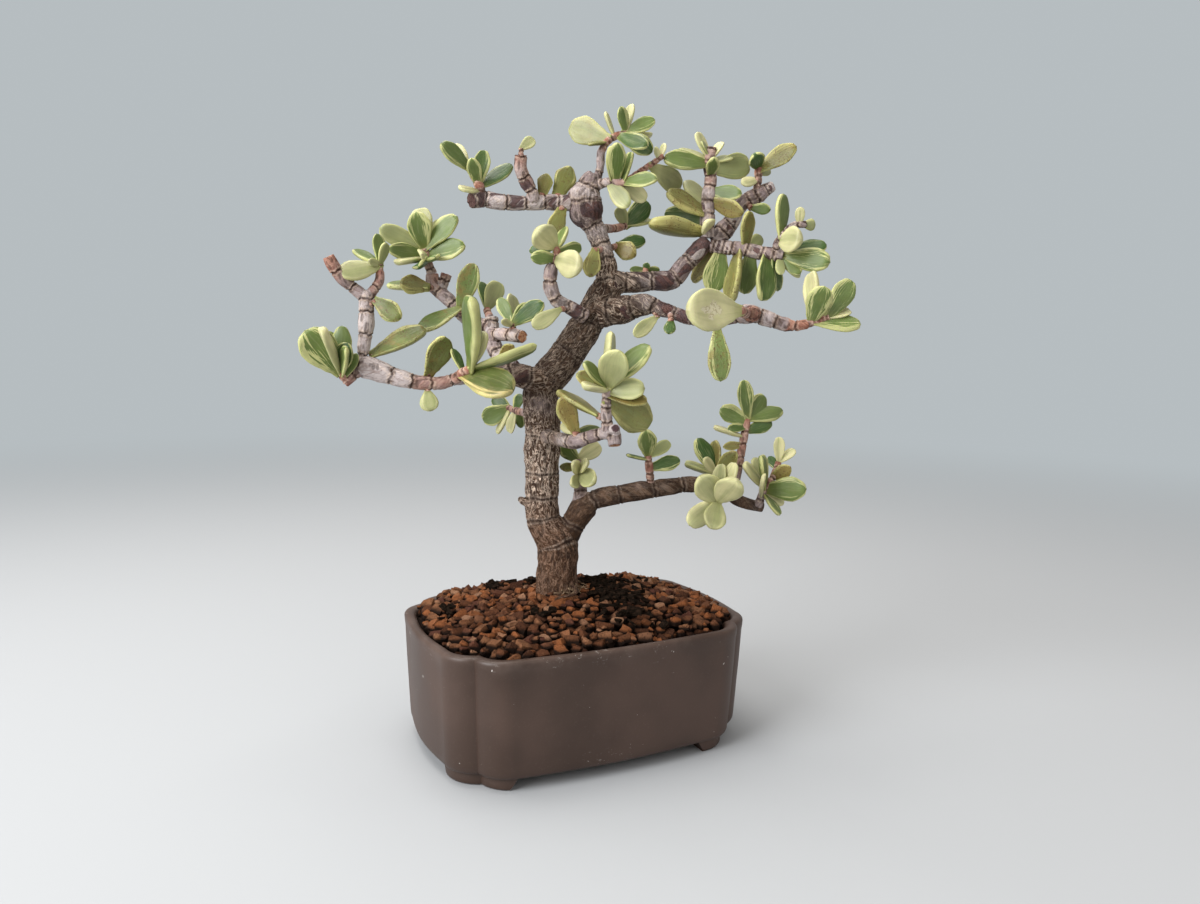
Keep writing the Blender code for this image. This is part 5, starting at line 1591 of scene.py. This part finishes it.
def make_shoots(leaf_look_made, bark_look_made):
    """Every leafy shoot: its young stem and its leaves, as one piece."""
    masters = [leaf_master(*mesh) for mesh in LEAF_MESHES]
    for name, runs in SHOOTS.items():
        picker = random.Random("leaves " + name)
        leaves, stems = [], []
        for path, table in runs:
            steps = smooth_path(path, SHOOT_STEP)
            stem = stem_run(steps)
            carve_bark(name, stem, [steps], SHOOT_BARK.get(name, YOUNG_BARK))
            stems.append(smooth(wear(stem, bark_look_made)))
            for place_along, right, back, up, width, *turn, kind in table:
                leaf = grow_leaf(masters, point_on(path, place_along), Vector((right, back, up)),
                                 width, turn[0] if turn else 0, kind, picker)
                leaves.append(wear(leaf, leaf_look_made))
        shoot = join(leaves + stems, name + "_shoot")
        shoot.matrix_world = TREE
        finish_piece(settle(shoot), "jade_leaf", name)
    discard(*masters)


# Studio


# Name, power, size, place, aim and colour. Places are right, ahead and up from the pot's middle, as
# the camera sees it, in metres.
LIGHTS = [
    ("window", 27, (0.8, 1.0), (-0.95, -0.8, 0.75), (0, 0, 0.15), (0.97, 0.985, 1.0)),
    ("front_fill", 4, (1.2, 1.0), (0.7, -1.2, 0.8), (0, 0, 0.15), (1.0, 0.98, 0.95)),
    ("top_soft", 15, (0.9, 0.9), (-0.25, 0.15, 1.35), (0, 0, 0.1), (1.0, 0.98, 0.95)),
]
SKY_LIGHT = (0.52, 0.51, 0.50)
SKY_SEEN = (0.47, 0.51, 0.53)
FLOOR_PALE = (0.40, 0.41, 0.42)
FLOOR_SIZE = 6
# How far from the middle the floor starts to melt into the backdrop, and where it has.
FLOOR_FADE = (0.3, 1.6)
# The view's right, ahead and up, the camera's place from the pot's middle, its tilt and its lens.
VIEW = Matrix(((0.8997, -0.4365, 0), (0.4365, 0.8997, 0), (0, 0, 1)))
CAMERA_PLACE = Vector((-0.1824, -0.4026, 0.194))
CAMERA_PITCH = math.radians(6.87)
CAMERA_ROLL = math.radians(-1.02)
LENS = 27.3
SENSOR = 36


def add_to_scene(name, data):
    """An object of a light's or a camera's data."""
    made = bpy.data.objects.new(name, data)
    bpy.context.scene.collection.objects.link(made)
    return made


def make_floor():
    """A pale floor that melts into the backdrop."""
    deselect()
    bpy.ops.mesh.primitive_plane_add(size=FLOOR_SIZE, location=(0, 0, 0))
    floor = bpy.context.object
    floor.name = "floor"
    look = Look("floor_paint", 0.7, 0.3)
    look.shader.inputs["Base Color"].default_value = (*FLOOR_PALE, 1)
    away = look.node("ShaderNodeVectorMath", look.place, operation="LENGTH").outputs["Value"]
    backdrop = look.node("ShaderNodeEmission", Color=(*SKY_SEEN, 1))
    blend = look.node("ShaderNodeMixShader", look.span(away, *FLOOR_FADE),
                      look.shader.outputs[0], backdrop.outputs[0])
    look.feed(look.tree.nodes["Material Output"].inputs["Surface"], blend.outputs[0])
    settle(wear(floor, look.material))


def make_lights():
    """Soft window-like light from the left, a fill and a top light."""
    for name, energy, size, spot, aim, colour in LIGHTS:
        lamp = bpy.data.lights.new(name, "AREA")
        lamp.energy = energy
        lamp.shape = "RECTANGLE"
        lamp.size, lamp.size_y = size
        lamp.color = colour
        light = add_to_scene(name, lamp)
        light.location = POT_MIDDLE + Vector(spot) @ VIEW
        to_aim = POT_MIDDLE + Vector(aim) @ VIEW - light.location
        light.rotation_euler = to_aim.to_track_quat("-Z", "Y").to_euler()


def make_world():
    """One light all round, and another colour where the camera sees it."""
    world = bpy.data.worlds.new("studio")
    bpy.context.scene.world = world
    world.use_nodes = True
    nodes, links = world.node_tree.nodes, world.node_tree.links
    sky, backdrop = nodes["Background"], nodes.new("ShaderNodeBackground")
    either = nodes.new("ShaderNodeMixShader")
    links.new(nodes.new("ShaderNodeLightPath").outputs["Is Camera Ray"], either.inputs[0])
    for side, colour, socket in ((sky, SKY_LIGHT, 1), (backdrop, SKY_SEEN, 2)):
        side.inputs["Color"].default_value = (*colour, 1)
        links.new(side.outputs[0], either.inputs[socket])
    links.new(either.outputs[0], nodes["World Output"].inputs["Surface"])


def make_camera():
    """The camera, a little above the tree's middle and almost level."""
    camera = bpy.data.cameras.new("camera")
    camera.lens = LENS
    camera.sensor_width = SENSOR
    camera.clip_start = 0.01
    camera.dof.use_dof = False
    right, ahead, up = VIEW
    forward = ahead * math.cos(CAMERA_PITCH) - up * math.sin(CAMERA_PITCH)
    down = -(ahead * math.sin(CAMERA_PITCH) + up * math.cos(CAMERA_PITCH))
    side = right * math.cos(CAMERA_ROLL) + down * math.sin(CAMERA_ROLL)
    drop = -right * math.sin(CAMERA_ROLL) + down * math.cos(CAMERA_ROLL)
    turn = Matrix((side, -drop, -forward)).transposed().to_4x4()
    view = add_to_scene("camera", camera)
    view.matrix_world = Matrix.Translation(POT_MIDDLE + CAMERA_PLACE) @ turn
    bpy.context.scene.camera = view


def make_studio():
    """The floor, the lights, the world, the camera and how colours are shown."""
    make_floor()
    make_lights()
    make_world()
    make_camera()
    bpy.context.scene.view_settings.view_transform = "Standard"


def main():
    """Dresses every solid."""
    bark, leaf = bark_look(), leaf_look()
    make_pot(clay_look())
    make_soil_bed(earth_look("soil_fines"))
    make_gravel(stone_look())
    make_chips(earth_look("bark_chips"))
    make_root_fibres(fibre_look())
    make_wood(bark)
    make_shoots(leaf, bark)
    screen = screen_look()
    for node in ("drain_screen_left", "drain_screen_right"):
        wear(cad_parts[node], screen)
    make_studio()


main()
deselect()
